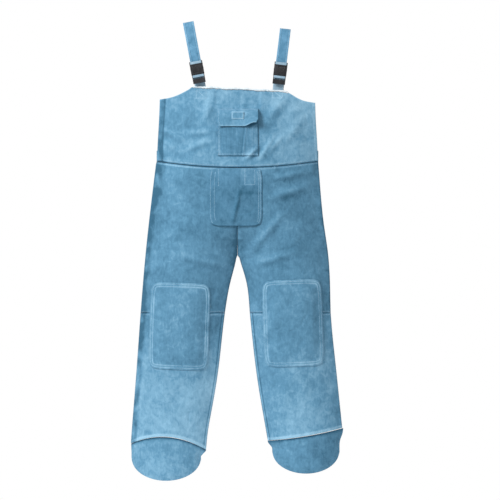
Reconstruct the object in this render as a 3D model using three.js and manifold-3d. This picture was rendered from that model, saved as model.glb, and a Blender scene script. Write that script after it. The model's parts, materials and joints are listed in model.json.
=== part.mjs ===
// Split-leg leather welding apron: bib, trouser legs with knee patches, foot covers and buckled shoulder straps.
// Millimetres, +Z up, front faces -Y, +X is the wearer's left. The origin is midway between the strap crowns.
import * as THREE from "three";
import { mergeVertices } from "three/addons/utils/BufferGeometryUtils.js";
import Module from "manifold-3d";

const wasm = await Module();
wasm.setup();

// ---- driving dimensions ----
const GAP = 0.3; // between pieces that touch
const SEWN_GAP = 0.9; // under a patch laid on a curved panel
const SEAM_GAP = 1; // across a seam whose two panels lean differently
const LEATHER = 2;

const STRAP_DROP = 226; // strap crown to the bib's top edge
const BIB_HEIGHT = 254; // bib's top edge to the waist seam
const OUTSEAM = 978; // waist seam to the hem
const CROTCH_DROP = 328; // waist seam to the crotch
const KNEE_DROP = 532; // waist seam to the knee seam
const WAIST_WIDTH = 567;
const BIB_WIDTH = 546; // under the arms
const BIB_TOP_WIDTH = 326;
const ARMHOLE_DROP = 42; // from the top edge down to the underarm corner
const BIB_TOP_X = 8; // the top edge sits a little to the wearer's left
const BIB_TILT = 7; // and runs down to that side
const WAIST_SAG = 24; // the waist seam's dip at its middle

const TORSO_FRONT_DEPTH = 58;
const TORSO_BACK_DEPTH = 84;
const LEG_FRONT_DEPTH = 44;
const LEG_BACK_DEPTH = 46;
const BIB_TOP_DEPTH = 30;

// outer flare: beyond half the waist; inner: from the centre line.
// Both at the waist, hip, crotch, mid thigh, knee, mid calf and hem.
// The foot cover is set in by footOuter and footInner; the knee patch starts patchAbove the knee seam.
const RIGHT_LEG = {
  side: -1,
  flare: [1, 26, 39, 48, 56, 72, 90],
  inner: [0, 0, 0, 27, 44, 70, 110],
  hemOuter: 12,
  hemMiddle: -14,
  hemInner: 34,
  footLength: 142,
  footOuter: 1,
  footInner: 18,
  patchAbove: 106,
};
const LEFT_LEG = {
  side: 1,
  flare: [-1, 17, 35, 41, 43, 65, 88],
  inner: [0, 0, 4, 34, 43, 68, 106],
  hemOuter: -42,
  hemMiddle: -16,
  hemInner: 2,
  footLength: 117,
  footOuter: 13,
  footInner: 16,
  patchAbove: 117,
};
const HIP_SHARE = 0.63; // how far down from waist to crotch the hip lies

const WAISTBAND_HEIGHT = 45;
const BAND_THICK = 3;
const WAISTBAND_RISE = 38; // how far the band stands above the waist seam

const STRAP_WIDTH = 38;
const STRAP_THICK = 3.5;
const ELASTIC_WIDTH = 36;
const ELASTIC_THICK = 2;
const CROWN_DEPTH = 44; // front strap to rear strap at the crown
const CROWN_BEND = 30; // height of the bend over the shoulder
const REAR_LEATHER = 36; // leather below the bend, at the back
const TAIL_LIFT = 4; // strap end above the buckle's mouth

const BUCKLE_LUG = 4; // buckle beyond the strap on each side
const BUCKLE_WIDTH = STRAP_WIDTH + 2 * BUCKLE_LUG;
const SOCKET_LENGTH = 38;
const KEEPER_LENGTH = 9; // the socket's loop round the strap
const SOCKET_DEPTH = 9.4;
const BUCKLE_WALL = 2.2;
const INSERT_LENGTH = 30;
const INSERT_SLOT = 9;
const PRONG_LENGTH = 27;
const PRONG_THICK = 4;
const PRONG_FIT = 0.5; // prong to socket wall
const PRONG_INSET = 8.5; // prong pivot from the buckle's side
const PRONG_ROOT = BUCKLE_WIDTH / 2 - PRONG_INSET;
const TAB_SEWN = 34; // tab length behind the bib
const TAB_RISE = 10; // the tab stays behind the bib's plane this far above its top edge
const TAB_THICK = 3;

// strap centre at the crown and at the buckle's mouth, and the mouth's height above the bib's top edge
const RIGHT_STRAP = { side: -1, crownX: 168, crownZ: 12, mouthX: 138, mouthUp: 50, rearX: 92 };
const LEFT_STRAP = { side: 1, crownX: 165, crownZ: -12, mouthX: 148, mouthUp: 46, rearX: 120 };

const POCKET_WIDTH = 143;
const POCKET_HEIGHT = 150;
const POCKET_X = 1;
const POCKET_BELOW_TOP = 85; // the bib's top edge to the pocket's mouth
const POCKET_BULGE = 9;
const FLAP_HEIGHT = 61;
const FLAP_ABOVE_MOUTH = 14;
const FLAP_SIDE = 1; // flap beyond the pocket on each side
const FLAP_CURL = 7;
const TAPE_THICK = 1.2;
const TAPE_WIDTH = 60;
const TAPE_HEIGHT = 18;
const LABEL_WIDTH = 42;
const LABEL_HEIGHT = 26;
const LABEL_THICK = 0.8;

const CROTCH_PATCH_WIDTH = 186;
const CROTCH_PATCH_HEIGHT = 203;
const CROTCH_PATCH_X = -7;

const KNEE_PATCH_WIDTH = 208;
const KNEE_PATCH_HEIGHT = 304;
const KNEE_PATCH_OUT = 7; // patch's middle beyond the leg's, to the outer side
const KNEE_PATCH_TILT = 0.035;

const FOOT_ROUND = 74; // height of the cover's rounded lower end
const SOLE_STRAP_WIDTH = 25;
const SOLE_STRAP_DROP = 26;
const SOLE_STRAP_DEPTH = 78;

// ---- heights ----
const EDGE = LEATHER + GAP / 2; // a panel's outer face stands this far from the side seam's plane
const BIB_TOP = -STRAP_DROP;
const WAIST = BIB_TOP - BIB_HEIGHT;
const CROTCH = WAIST - CROTCH_DROP;
const KNEE = WAIST - KNEE_DROP;
const HEM = WAIST - OUTSEAM;
const STATIONS = [
  WAIST,
  WAIST - HIP_SHARE * CROTCH_DROP,
  CROTCH,
  (CROTCH + KNEE) / 2,
  KNEE,
  (KNEE + HEM) / 2,
  HEM,
];

// ---- materials ----
function finish(color, roughness) {
  return new THREE.MeshStandardMaterial({ color, roughness, metalness: 0 });
}
const SUEDE = finish("#6a9fc4", 0.92);
const SUEDE_DARK = finish("#578bac", 0.93);
const SUEDE_LIGHT = finish("#86b4d4", 0.9);
const WEBBING = finish("#1c1d20", 0.85);
const PLASTIC = finish("#15161a", 0.45);
const LABEL = finish("#5f93b8", 0.8);

// ---- small helpers ----
const lerp = THREE.MathUtils.lerp;
const clamp = THREE.MathUtils.clamp;
const smooth = THREE.MathUtils.smoothstep;

// A smooth value through the stations' values, steady beyond both ends.
function along(values) {
  const downward = STATIONS.map((z) => -z);
  const curve = new THREE.CubicInterpolant(downward, values, 1, [0]);
  return (z) => curve.evaluate(clamp(-z, downward[0], downward.at(-1)))[0];
}

for (const leg of [RIGHT_LEG, LEFT_LEG]) {
  const flare = along(leg.flare);
  const inner = along(leg.inner);
  leg.outerX = (z) => WAIST_WIDTH / 2 + flare(z);
  leg.innerX = (z) => (z > CROTCH ? 0 : inner(z));
}

// The hem's height across a leg, from the inner edge (0) to the outer edge (1).
function hemZ(leg, u) {
  const arch = 2 * leg.hemMiddle - (leg.hemInner + leg.hemOuter) / 2;
  const drop = (1 - u) ** 2 * leg.hemInner + 2 * u * (1 - u) * arch + u ** 2 * leg.hemOuter;
  return HEM - drop;
}

// The waist seam's height: it dips in the middle.
function waistZ(x) {
  return WAIST - WAIST_SAG * (1 - clamp((2 * x) / WAIST_WIDTH, -1, 1) ** 2);
}

// How far the body bulges from the side seams' plane, at the front or at the back.
function bulge(x, z, torsoDepth, legDepth) {
  const leg = x < 0 ? RIGHT_LEG : LEFT_LEG;
  const outer = leg.outerX(z);
  const inner = leg.innerX(z);
  const torso = 1 - clamp(Math.abs(x) / outer, 0, 1) ** 2.4;
  const across = (2 * Math.abs(x) - inner - outer) / (outer - inner);
  const tube = 1 - clamp(Math.abs(across), 0, 1) ** 2.2;
  const legShare = 1 - smooth(z, CROTCH, STATIONS[1]);
  return lerp(torsoDepth * torso, legDepth * tube, legShare);
}

function frontY(x, z) {
  const depth = lerp(TORSO_FRONT_DEPTH, BIB_TOP_DEPTH, smooth(z, WAIST, BIB_TOP));
  return -EDGE - bulge(x, z, depth, LEG_FRONT_DEPTH);
}

function backY(x, z) {
  return EDGE + bulge(x, z, TORSO_BACK_DEPTH, LEG_BACK_DEPTH);
}

// A sheet of even thickness over surface(u, v), u across and v along. Thickness grows towards v cross u.
function sheet(columns, rows, thickness, surface) {
  const geometry = new THREE.BoxGeometry(1, 1, 1, columns, 1, rows);
  const place = geometry.getAttribute("position");
  const step = 1e-3;
  for (let i = 0; i < place.count; i++) {
    const u = place.getX(i) + 0.5;
    const v = place.getZ(i) + 0.5;
    const side = place.getY(i) + 0.5;
    const p = surface(u, v);
    const du = surface(Math.min(u + step, 1), v).sub(surface(Math.max(u - step, 0), v));
    const dv = surface(u, Math.min(v + step, 1)).sub(surface(u, Math.max(v - step, 0)));
    p.addScaledVector(dv.cross(du).normalize(), side * thickness);
    place.setXYZ(i, p.x, p.y, p.z);
  }
  return geometry;
}

// A strip of even width and thickness that follows a list of points. The first face is its outer one.
function band(points, width, thickness, sideways = new THREE.Vector3(1, 0, 0)) {
  const last = points.length - 1;
  const at = (v) => {
    const i = Math.min(Math.floor(v * last), last - 1);
    return points[i].clone().lerp(points[i + 1], v * last - i);
  };
  return sheet(1, last, thickness, (u, v) => at(v).addScaledVector(sideways, (u - 0.5) * width));
}

// A rectangle's point with gently rounded corners: s and t run from -1 to 1.
function rounded(s, t, round) {
  return [s * (1 - round * t ** 8), t * (1 - round * s ** 8)];
}

function solid(geometry) {
  const bare = geometry.clone();
  bare.deleteAttribute("normal");
  bare.deleteAttribute("uv");
  const merged = mergeVertices(bare, 1e-4);
  const vertProperties = merged.getAttribute("position").array;
  const triVerts = new Uint32Array(merged.index.array);
  return new wasm.Manifold(new wasm.Mesh({ numProp: 3, vertProperties, triVerts }));
}

function geometryOf(body) {
  const { vertProperties, triVerts } = body.getMesh();
  const geometry = new THREE.BufferGeometry();
  geometry.setAttribute("position", new THREE.BufferAttribute(vertProperties, 3));
  geometry.setIndex(new THREE.BufferAttribute(triVerts, 1));
  return geometry;
}

// A box between two corners.
function block(x0, x1, y0, y1, z0, z1) {
  const geometry = new THREE.BoxGeometry(x1 - x0, y1 - y0, z1 - z0);
  return geometry.translate((x0 + x1) / 2, (y0 + y1) / 2, (z0 + z1) / 2);
}

const apron = new THREE.Group();

function add(name, geometry, material, parent = apron) {
  const mesh = new THREE.Mesh(geometry, material);
  mesh.name = name;
  parent.add(mesh);
  return mesh;
}

// ---- bib and body panels ----

// Half the bib's width at a height: narrow at the top edge, scooped under the arms, then nearly straight.
function bibHalf(t) {
  const down = t * BIB_HEIGHT;
  const scoop = Math.asin(clamp(down / ARMHOLE_DROP, 0, 1)) / (Math.PI / 2);
  const underarm = lerp(BIB_TOP_WIDTH, BIB_WIDTH, scoop);
  return lerp(underarm, WAIST_WIDTH - 2, smooth(down, ARMHOLE_DROP, BIB_HEIGHT)) / 2;
}

// The bib's rows of points, as shares of its height: close together down the armholes, then even.
const ARMHOLE_ROWS = [0, 0.35, 0.65, 0.87, 1];
const BIB_ROWS = [...ARMHOLE_ROWS.map((row) => (row * ARMHOLE_DROP) / BIB_HEIGHT), 0.4, 0.6, 0.8, 1];

function bibPanel() {
  return sheet(12, BIB_ROWS.length - 1, LEATHER, (u, v) => {
    const row = (1 - v) * (BIB_ROWS.length - 1);
    const i = Math.min(Math.floor(row), BIB_ROWS.length - 2);
    const t = lerp(BIB_ROWS[i], BIB_ROWS[i + 1], row - i);
    const s = 2 * u - 1;
    const x = s * bibHalf(t) + BIB_TOP_X * (1 - smooth(t * BIB_HEIGHT, 0, ARMHOLE_DROP));
    const z = lerp(BIB_TOP - BIB_TILT * s, waistZ(x) + SEAM_GAP, t);
    return new THREE.Vector3(x, frontY(x, z), z);
  });
}

// A leg panel between two heights, from the centre or inner seam to the outer seam.
function legPanel(leg, rows, yAt, top, bottom) {
  const back = yAt === backY;
  return sheet(8, rows, LEATHER, (u, v) => {
    const across = leg.side < 0 ? 1 - u : u;
    const clear = back ? 1.5 * SEAM_GAP : GAP / 2;
    const level = (z) => lerp(leg.innerX(z) + clear, leg.outerX(z), across);
    const rough = lerp(bottom(across, 0), top(across, 0), v);
    const x = leg.side * level(rough);
    const z = lerp(bottom(across, x), top(across, x), v);
    const exact = leg.side * level(z);
    const y = yAt(exact, z);
    return new THREE.Vector3(exact, back ? y - LEATHER : y, z);
  });
}

function bodyPanels(leg, name) {
  const waistTop = (u, x) => waistZ(x);
  const backTop = () => WAIST + WAISTBAND_RISE - WAISTBAND_HEIGHT - GAP;
  const kneeAbove = () => KNEE + GAP / 2;
  const kneeBelow = () => KNEE - GAP / 2;
  const hem = (u) => hemZ(leg, u);
  add(`${name}_thigh_panel`, legPanel(leg, 10, frontY, waistTop, kneeAbove), SUEDE);
  add(`${name}_seat_panel`, legPanel(leg, 10, backY, backTop, kneeAbove), SUEDE_DARK);
  add(`${name}_shin_panel`, legPanel(leg, 8, frontY, kneeBelow, hem), SUEDE);
  add(`${name}_calf_panel`, legPanel(leg, 8, backY, kneeBelow, hem), SUEDE_DARK);
}

function backWaistband() {
  const half = WAIST_WIDTH / 2 - 1;
  return sheet(14, 1, BAND_THICK, (u, v) => {
    const x = (2 * u - 1) * half;
    const z = WAIST + WAISTBAND_RISE - WAISTBAND_HEIGHT * (1 - v);
    return new THREE.Vector3(x, backY(x, WAIST) - LEATHER, z);
  });
}

// ---- patches ----

// A point lift above the front panel, measured square to the way it curves from side to side.
function aboveFront(x, z, lift) {
  const step = 0.5;
  const slope = (frontY(x + step, z) - frontY(x - step, z)) / (2 * step);
  const tall = Math.hypot(slope, 1);
  return new THREE.Vector3(x + (slope * lift) / tall, frontY(x, z) - lift / tall, z);
}

// A patch laid on the front, centred at (x, z), turned by tilt, its outer face lift above the panel.
function frontPatch(columns, rows, width, height, x0, z0, tilt, round, lift, thickness = LEATHER) {
  return sheet(columns, rows, thickness, (u, v) => {
    const [s, t] = rounded(2 * u - 1, 2 * v - 1, round);
    const across = (s * width) / 2;
    const up = (t * height) / 2;
    const x = x0 + across * Math.cos(tilt) - up * Math.sin(tilt);
    const z = z0 + across * Math.sin(tilt) + up * Math.cos(tilt);
    return aboveFront(x, z, lift);
  });
}

const PATCH_LIFT = LEATHER + SEWN_GAP;

function crotchPatch() {
  const top = waistZ(0) - 1;
  const middle = top - CROTCH_PATCH_HEIGHT / 2;
  return frontPatch(
    8, 8, CROTCH_PATCH_WIDTH, CROTCH_PATCH_HEIGHT, CROTCH_PATCH_X, middle, 0, 0.06, PATCH_LIFT,
  );
}

function kneePatch(leg) {
  const z = KNEE + leg.patchAbove - KNEE_PATCH_HEIGHT / 2;
  const x = leg.side * ((leg.innerX(z) + leg.outerX(z)) / 2 + KNEE_PATCH_OUT);
  const tilt = leg.side * KNEE_PATCH_TILT;
  return frontPatch(10, 10, KNEE_PATCH_WIDTH, KNEE_PATCH_HEIGHT, x, z, tilt, 0.05, PATCH_LIFT);
}

// ---- chest pocket ----
const POCKET_TOP = BIB_TOP - POCKET_BELOW_TOP;
const POCKET_BOTTOM = POCKET_TOP - POCKET_HEIGHT;
const FLAP_TOP = POCKET_TOP + FLAP_ABOVE_MOUTH;
const POCKET_LIFT = SEWN_GAP + LEATHER + POCKET_BULGE; // the mouth's outer face above the bib
const TAPE_GAP = 0.6;
const LOOP_LIFT = POCKET_LIFT + TAPE_GAP + TAPE_THICK;
const HOOK_LIFT = LOOP_LIFT + TAPE_GAP + TAPE_THICK;
const FLAP_LIFT = HOOK_LIFT + TAPE_GAP + LEATHER;
const LABEL_LIFT = FLAP_LIFT + 2 * TAPE_GAP + LABEL_THICK;

function pocketLift(s, t) {
  const open = smooth(t, 0, 1) * (1 - s ** 4) + (1 - smooth(t, 0, 1)) * (1 - s ** 2) * Math.sqrt(t);
  return SEWN_GAP + LEATHER + POCKET_BULGE * open;
}

function chestPocket() {
  return sheet(10, 8, LEATHER, (u, v) => {
    const s = 2 * u - 1;
    const x = POCKET_X + (s * POCKET_WIDTH) / 2;
    const z = lerp(POCKET_BOTTOM, POCKET_TOP, v);
    return new THREE.Vector3(x, frontY(x, z) - pocketLift(s, v), z);
  });
}

// The flap's outer face above the bib, from its sewn top edge (0) to its free edge (1).
function flapLift(s, down) {
  const step = smooth(down, 0, FLAP_ABOVE_MOUTH / FLAP_HEIGHT);
  const curl = FLAP_CURL * smooth(down, 0.5, 1) * smooth(s, -0.4, 1);
  return LEATHER + SEWN_GAP + (FLAP_LIFT - LEATHER - SEWN_GAP) * step + curl;
}

function flapPoint(s, down) {
  const half = POCKET_WIDTH / 2 + FLAP_SIDE;
  const corner = 1 - 0.09 * smooth(down, 0.72, 1);
  const x = POCKET_X + s * half * corner;
  const z = FLAP_TOP - FLAP_HEIGHT * down;
  return new THREE.Vector3(x, frontY(x, z) - flapLift(s, down), z);
}

const FLAP_ROWS = [0, 0.12, 0.24, 0.5, 0.72, 0.86, 1];

function chestFlap() {
  const last = FLAP_ROWS.length - 1;
  return sheet(10, last, LEATHER, (u, v) => {
    const row = (1 - v) * last;
    const i = Math.min(Math.floor(row), last - 1);
    return flapPoint(2 * u - 1, lerp(FLAP_ROWS[i], FLAP_ROWS[i + 1], row - i));
  });
}

function pocketPieces() {
  const tapeZ = POCKET_TOP - TAPE_HEIGHT / 2 - 4 * TAPE_GAP;
  const labelZ = FLAP_TOP - FLAP_HEIGHT * 0.38;
  const tape = (lift) =>
    frontPatch(3, 1, TAPE_WIDTH, TAPE_HEIGHT, POCKET_X, tapeZ, 0, 0, lift, TAPE_THICK);
  const label = frontPatch(1, 1, LABEL_WIDTH, LABEL_HEIGHT, POCKET_X, labelZ, 0, 0, LABEL_LIFT, LABEL_THICK);
  add("chest_pocket", chestPocket(), SUEDE_DARK);
  add("chest_pocket_flap", chestFlap(), SUEDE);
  add("pocket_loop_tape", tape(LOOP_LIFT), WEBBING);
  add("flap_hook_tape", tape(HOOK_LIFT), WEBBING);
  add("flap_label", label, LABEL);
}

// ---- foot covers ----
function coverPoint(leg, across, down) {
  const s = Math.sin((across - 0.5) * Math.PI);
  const inner = leg.innerX(HEM) + leg.footInner * smooth(down, 0.1, 0.6);
  const outer = leg.outerX(HEM) - leg.footOuter * smooth(down, 0.1, 0.6);
  const x = (inner + outer) / 2 + (s * (outer - inner)) / 2;
  const top = hemZ(leg, (s + 1) / 2) - SEAM_GAP;
  const bottom = HEM - leg.footLength + FOOT_ROUND * (1 - Math.sqrt(1 - s * s));
  const y = frontY(leg.side * x, HEM);
  return new THREE.Vector3(leg.side * x, y, lerp(top, bottom, down));
}

function footCover(leg) {
  return sheet(10, 6, LEATHER, (u, v) => coverPoint(leg, leg.side < 0 ? 1 - u : u, 1 - v));
}

// An elastic loop behind the cover that passes under the sole.
function soleStrap(leg) {
  const clear = LEATHER + SEWN_GAP + ELASTIC_THICK;
  const high = 0.45;
  const ends = [0.15, 0.85].map((across) => coverPoint(leg, across, high));
  const [a, b] = leg.side < 0 ? ends.reverse() : ends;
  const middle = a.clone().lerp(b, 0.5);
  middle.y += SOLE_STRAP_DEPTH;
  middle.z -= SOLE_STRAP_DROP;
  const lift = new THREE.Vector3(0, clear, 0);
  a.add(lift);
  b.add(lift);
  const pull = new THREE.Vector3(0, SOLE_STRAP_DEPTH * 0.7, -SOLE_STRAP_DROP * 0.5);
  const curve = new THREE.CubicBezierCurve3(
    a, a.clone().add(pull).lerp(middle, 0.35), b.clone().add(pull).lerp(middle, 0.35), b,
  );
  const half = SOLE_STRAP_WIDTH / 2;
  return sheet(14, 1, ELASTIC_THICK, (u, v) => {
    const p = curve.getPoint(u);
    p.z += lerp(-half, half, v);
    return p;
  });
}

// ---- shoulder straps and buckles ----

// A strap's own frame: origin at the buckle's mouth, z along the strap, y to the back.
function strapFrame(strap) {
  const x = strap.side * strap.mouthX;
  const z = BIB_TOP + strap.mouthUp;
  const y = frontY(x, BIB_TOP) - SEWN_GAP - STRAP_THICK - SOCKET_DEPTH * 0.36 - GAP;
  const mouth = new THREE.Vector3(x, y, z);
  const crown = new THREE.Vector3(strap.side * strap.crownX, -CROWN_DEPTH / 2, strap.crownZ - CROWN_BEND);
  const up = crown.clone().sub(mouth);
  const length = up.length();
  up.normalize();
  const back = new THREE.Vector3(0, 1, 0).addScaledVector(up, -up.y).normalize();
  const across = back.clone().cross(up);
  return { mouth, up, back, across, length };
}

const SOCKET_BACK = SOCKET_DEPTH * 0.36; // the socket's back face behind the frame's plane
const STRAP_FRONT = SOCKET_BACK + GAP; // the strap's outer face behind the frame's plane

function shoulderStrap(frame, strap) {
  const { mouth, up, back, across, length } = frame;
  const start = mouth.clone().addScaledVector(back, STRAP_FRONT);
  const front = start.clone().addScaledVector(up, length);
  const rear = new THREE.Vector3(front.x, CROWN_DEPTH / 2, front.z);
  const down = rearDirection(strap, rear);
  const bend = new THREE.CubicBezierCurve3(
    front,
    front.clone().addScaledVector(up, CROWN_BEND * 1.33),
    rear.clone().addScaledVector(down, -CROWN_BEND * 1.33),
    rear,
  );
  const points = [start.clone().addScaledVector(up, TAIL_LIFT), start.clone().addScaledVector(up, length / 2)];
  points.push(...bend.getPoints(9), rear.clone().addScaledVector(down, REAR_LEATHER));
  return band(points, STRAP_WIDTH, STRAP_THICK, across);
}

// How far back the waistband's outer face reaches under an elastic centred at x.
function waistbandFace(x) {
  const near = Math.abs(x) - ELASTIC_WIDTH / 2;
  return backY(near, WAIST) - LEATHER + BAND_THICK;
}

// The direction in which the rear half runs down to the waistband.
function rearDirection(strap, from) {
  const x = strap.side * strap.rearX;
  const z = WAIST + WAISTBAND_RISE;
  return new THREE.Vector3(x, waistbandFace(x) + GAP + ELASTIC_THICK + SEWN_GAP, z).sub(from).normalize();
}

function strapElastic(frame, strap) {
  const { mouth, up, back, length } = frame;
  const front = mouth.clone().addScaledVector(back, STRAP_FRONT).addScaledVector(up, length);
  const rear = new THREE.Vector3(front.x, CROWN_DEPTH / 2, front.z);
  const down = rearDirection(strap, rear);
  const inside = new THREE.Vector3(0, -STRAP_THICK - 4 * GAP, 0);
  const start = rear.clone().addScaledVector(down, STRAP_THICK * 2).add(inside);
  const x = strap.side * strap.rearX;
  const face = waistbandFace(x) + SEWN_GAP + ELASTIC_THICK;
  const top = new THREE.Vector3(x, face, WAIST + WAISTBAND_RISE);
  const end = new THREE.Vector3(x, face, WAIST + WAISTBAND_RISE - WAISTBAND_HEIGHT * 0.8);
  return band([start, start.clone().lerp(top, 0.5), top, end], ELASTIC_WIDTH, ELASTIC_THICK);
}

// The leather tab: sewn behind the bib, up behind the insert.
function strapTab(frame) {
  const { mouth, up, back, across } = frame;
  const top = mouth.clone().addScaledVector(back, STRAP_FRONT).addScaledVector(up, -GAP * 6);
  const fall = (mouth.z - BIB_TOP) / up.z;
  const edge = mouth.clone().addScaledVector(up, TAB_RISE - fall);
  const sewn = [1, 0.5, 0].map((share) => {
    const p = edge.clone().addScaledVector(up, -(TAB_SEWN + TAB_RISE) * share);
    const outerEdge = p.x + (Math.sign(p.x) * STRAP_WIDTH) / 2;
    p.y = frontY(outerEdge, Math.min(p.z, BIB_TOP)) + LEATHER + 2 * SEWN_GAP;
    return p;
  });
  return band([...sewn, top], STRAP_WIDTH, TAB_THICK, across);
}

function socketShape() {
  const half = BUCKLE_WIDTH / 2;
  const front = SOCKET_BACK - SOCKET_DEPTH;
  const keeperBack = STRAP_FRONT + STRAP_THICK + GAP;
  const bore = (PRONG_THICK / 2) + PRONG_FIT;
  const middle = (front + SOCKET_BACK) / 2;
  const total = SOCKET_LENGTH + KEEPER_LENGTH;
  const body = solid(block(-half, half, front, SOCKET_BACK, 0, SOCKET_LENGTH));
  const keeper = block(-half, half, front * 0.6, keeperBack + BUCKLE_WALL, SOCKET_LENGTH - 1, total);
  const strapWay = block(
    -STRAP_WIDTH / 2 - GAP, STRAP_WIDTH / 2 + GAP, SOCKET_BACK, keeperBack, SOCKET_LENGTH - 2, total + 1,
  );
  const cavity = block(
    -half + BUCKLE_WALL, half - BUCKLE_WALL, middle - bore, middle + bore, -1, PRONG_LENGTH + 2,
  );
  const windows = block(-half - 1, half + 1, middle - bore, middle + bore, -1, PRONG_LENGTH + 1);
  return geometryOf(
    body.add(solid(keeper)).subtract(solid(strapWay)).subtract(solid(cavity)).subtract(solid(windows)),
  );
}

function insertShape() {
  const half = BUCKLE_WIDTH / 2 - 1;
  const front = SOCKET_BACK - SOCKET_DEPTH + 1;
  const middle = SOCKET_BACK - SOCKET_DEPTH / 2;
  const top = -2 * GAP;
  const plate = solid(block(-half, half, front, SOCKET_BACK - GAP, top - INSERT_LENGTH, top));
  const slotTop = top - BUCKLE_WALL * 2.5;
  const slot = block(
    -STRAP_WIDTH / 2, STRAP_WIDTH / 2, front - 1, SOCKET_BACK + 1, slotTop - INSERT_SLOT, slotTop,
  );
  const tongue = block(-4, 4, middle - PRONG_THICK / 2, middle + PRONG_THICK / 2, top - 1, PRONG_LENGTH - 5);
  return geometryOf(plate.subtract(solid(slot)).add(solid(tongue)));
}

// One prong: a springy arm with a shouldered tip that stands through the socket's side.
function prongShape(side) {
  const tip = BUCKLE_WIDTH / 2 + 0.6;
  const outline = [
    [PRONG_ROOT - 2.2, 0],
    [PRONG_ROOT + 2.2, 0],
    [PRONG_ROOT + 3.4, PRONG_LENGTH * 0.58],
    [tip, PRONG_LENGTH * 0.7],
    [tip - 0.6, PRONG_LENGTH * 0.88],
    [PRONG_ROOT + 4.5, PRONG_LENGTH],
    [PRONG_ROOT, PRONG_LENGTH],
    [PRONG_ROOT - 1.2, PRONG_LENGTH * 0.5],
  ].map(([x, z]) => new THREE.Vector2(side * x, z));
  const shape = new THREE.Shape(side > 0 ? outline : outline.reverse());
  const geometry = new THREE.ExtrudeGeometry(shape, { depth: PRONG_THICK, bevelEnabled: false });
  const middle = SOCKET_BACK - SOCKET_DEPTH / 2;
  return geometry.rotateX(Math.PI / 2).translate(0, middle + PRONG_THICK / 2, 0);
}

function strapPieces(strap, name) {
  const frame = strapFrame(strap);
  add(`${name}_shoulder_strap`, shoulderStrap(frame, strap), SUEDE_LIGHT);
  add(`${name}_strap_elastic`, strapElastic(frame, strap), WEBBING);
  add(`${name}_strap_tab`, strapTab(frame), SUEDE_LIGHT);
  const buckle = new THREE.Group();
  buckle.position.copy(frame.mouth);
  buckle.setRotationFromMatrix(new THREE.Matrix4().makeBasis(frame.across, frame.back, frame.up));
  add(`${name}_buckle_socket`, socketShape(), PLASTIC, buckle);
  add(`${name}_buckle_insert`, insertShape(), PLASTIC, buckle);
  add(`${name}_buckle_outer_prong`, prongShape(strap.side), PLASTIC, buckle);
  add(`${name}_buckle_inner_prong`, prongShape(-strap.side), PLASTIC, buckle);
  apron.add(buckle);
}

// ---- assembly ----
add("bib_panel", bibPanel(), SUEDE);
add("back_waistband", backWaistband(), SUEDE_DARK);
add("crotch_patch", crotchPatch(), SUEDE_DARK);
pocketPieces();
for (const [leg, name] of [[RIGHT_LEG, "right"], [LEFT_LEG, "left"]]) {
  bodyPanels(leg, name);
  add(`${name}_knee_patch`, kneePatch(leg), SUEDE_DARK);
  add(`${name}_foot_cover`, footCover(leg), SUEDE);
  add(`${name}_sole_strap`, soleStrap(leg), WEBBING);
}
strapPieces(RIGHT_STRAP, "right");
strapPieces(LEFT_STRAP, "left");

export default apron;
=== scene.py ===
"""Looks of the split-leg leather welding apron over its CAD frame. Metres, +Z up, front faces -Y."""
import json
import math

import bmesh
import bpy
import numpy as np
from mathutils import Matrix, Vector, noise
from mathutils.bvhtree import BVHTree
from mathutils.kdtree import KDTree


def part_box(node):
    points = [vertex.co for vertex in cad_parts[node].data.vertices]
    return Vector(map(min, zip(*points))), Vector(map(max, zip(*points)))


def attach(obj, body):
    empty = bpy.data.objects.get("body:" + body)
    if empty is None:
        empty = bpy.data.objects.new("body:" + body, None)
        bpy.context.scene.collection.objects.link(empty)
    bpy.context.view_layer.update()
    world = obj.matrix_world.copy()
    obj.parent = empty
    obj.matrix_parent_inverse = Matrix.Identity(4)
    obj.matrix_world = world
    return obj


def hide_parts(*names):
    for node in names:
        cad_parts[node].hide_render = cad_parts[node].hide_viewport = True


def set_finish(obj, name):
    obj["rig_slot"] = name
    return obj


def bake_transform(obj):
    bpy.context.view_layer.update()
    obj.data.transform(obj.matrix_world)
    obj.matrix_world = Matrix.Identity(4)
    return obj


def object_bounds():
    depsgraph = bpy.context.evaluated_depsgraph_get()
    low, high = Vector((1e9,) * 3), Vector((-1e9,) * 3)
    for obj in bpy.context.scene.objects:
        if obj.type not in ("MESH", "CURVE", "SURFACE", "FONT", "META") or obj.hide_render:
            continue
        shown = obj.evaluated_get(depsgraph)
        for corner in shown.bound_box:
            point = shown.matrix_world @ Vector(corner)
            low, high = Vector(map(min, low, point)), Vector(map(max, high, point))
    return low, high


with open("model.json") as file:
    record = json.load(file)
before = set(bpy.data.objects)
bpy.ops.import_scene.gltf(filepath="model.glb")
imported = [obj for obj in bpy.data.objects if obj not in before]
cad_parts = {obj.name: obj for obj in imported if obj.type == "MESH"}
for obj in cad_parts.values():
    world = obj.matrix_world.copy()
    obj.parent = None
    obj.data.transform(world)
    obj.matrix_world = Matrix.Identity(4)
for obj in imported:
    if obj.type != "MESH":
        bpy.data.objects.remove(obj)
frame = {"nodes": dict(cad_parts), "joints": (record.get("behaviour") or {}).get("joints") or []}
CAD_BOX = [list(corner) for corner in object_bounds()]

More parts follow.
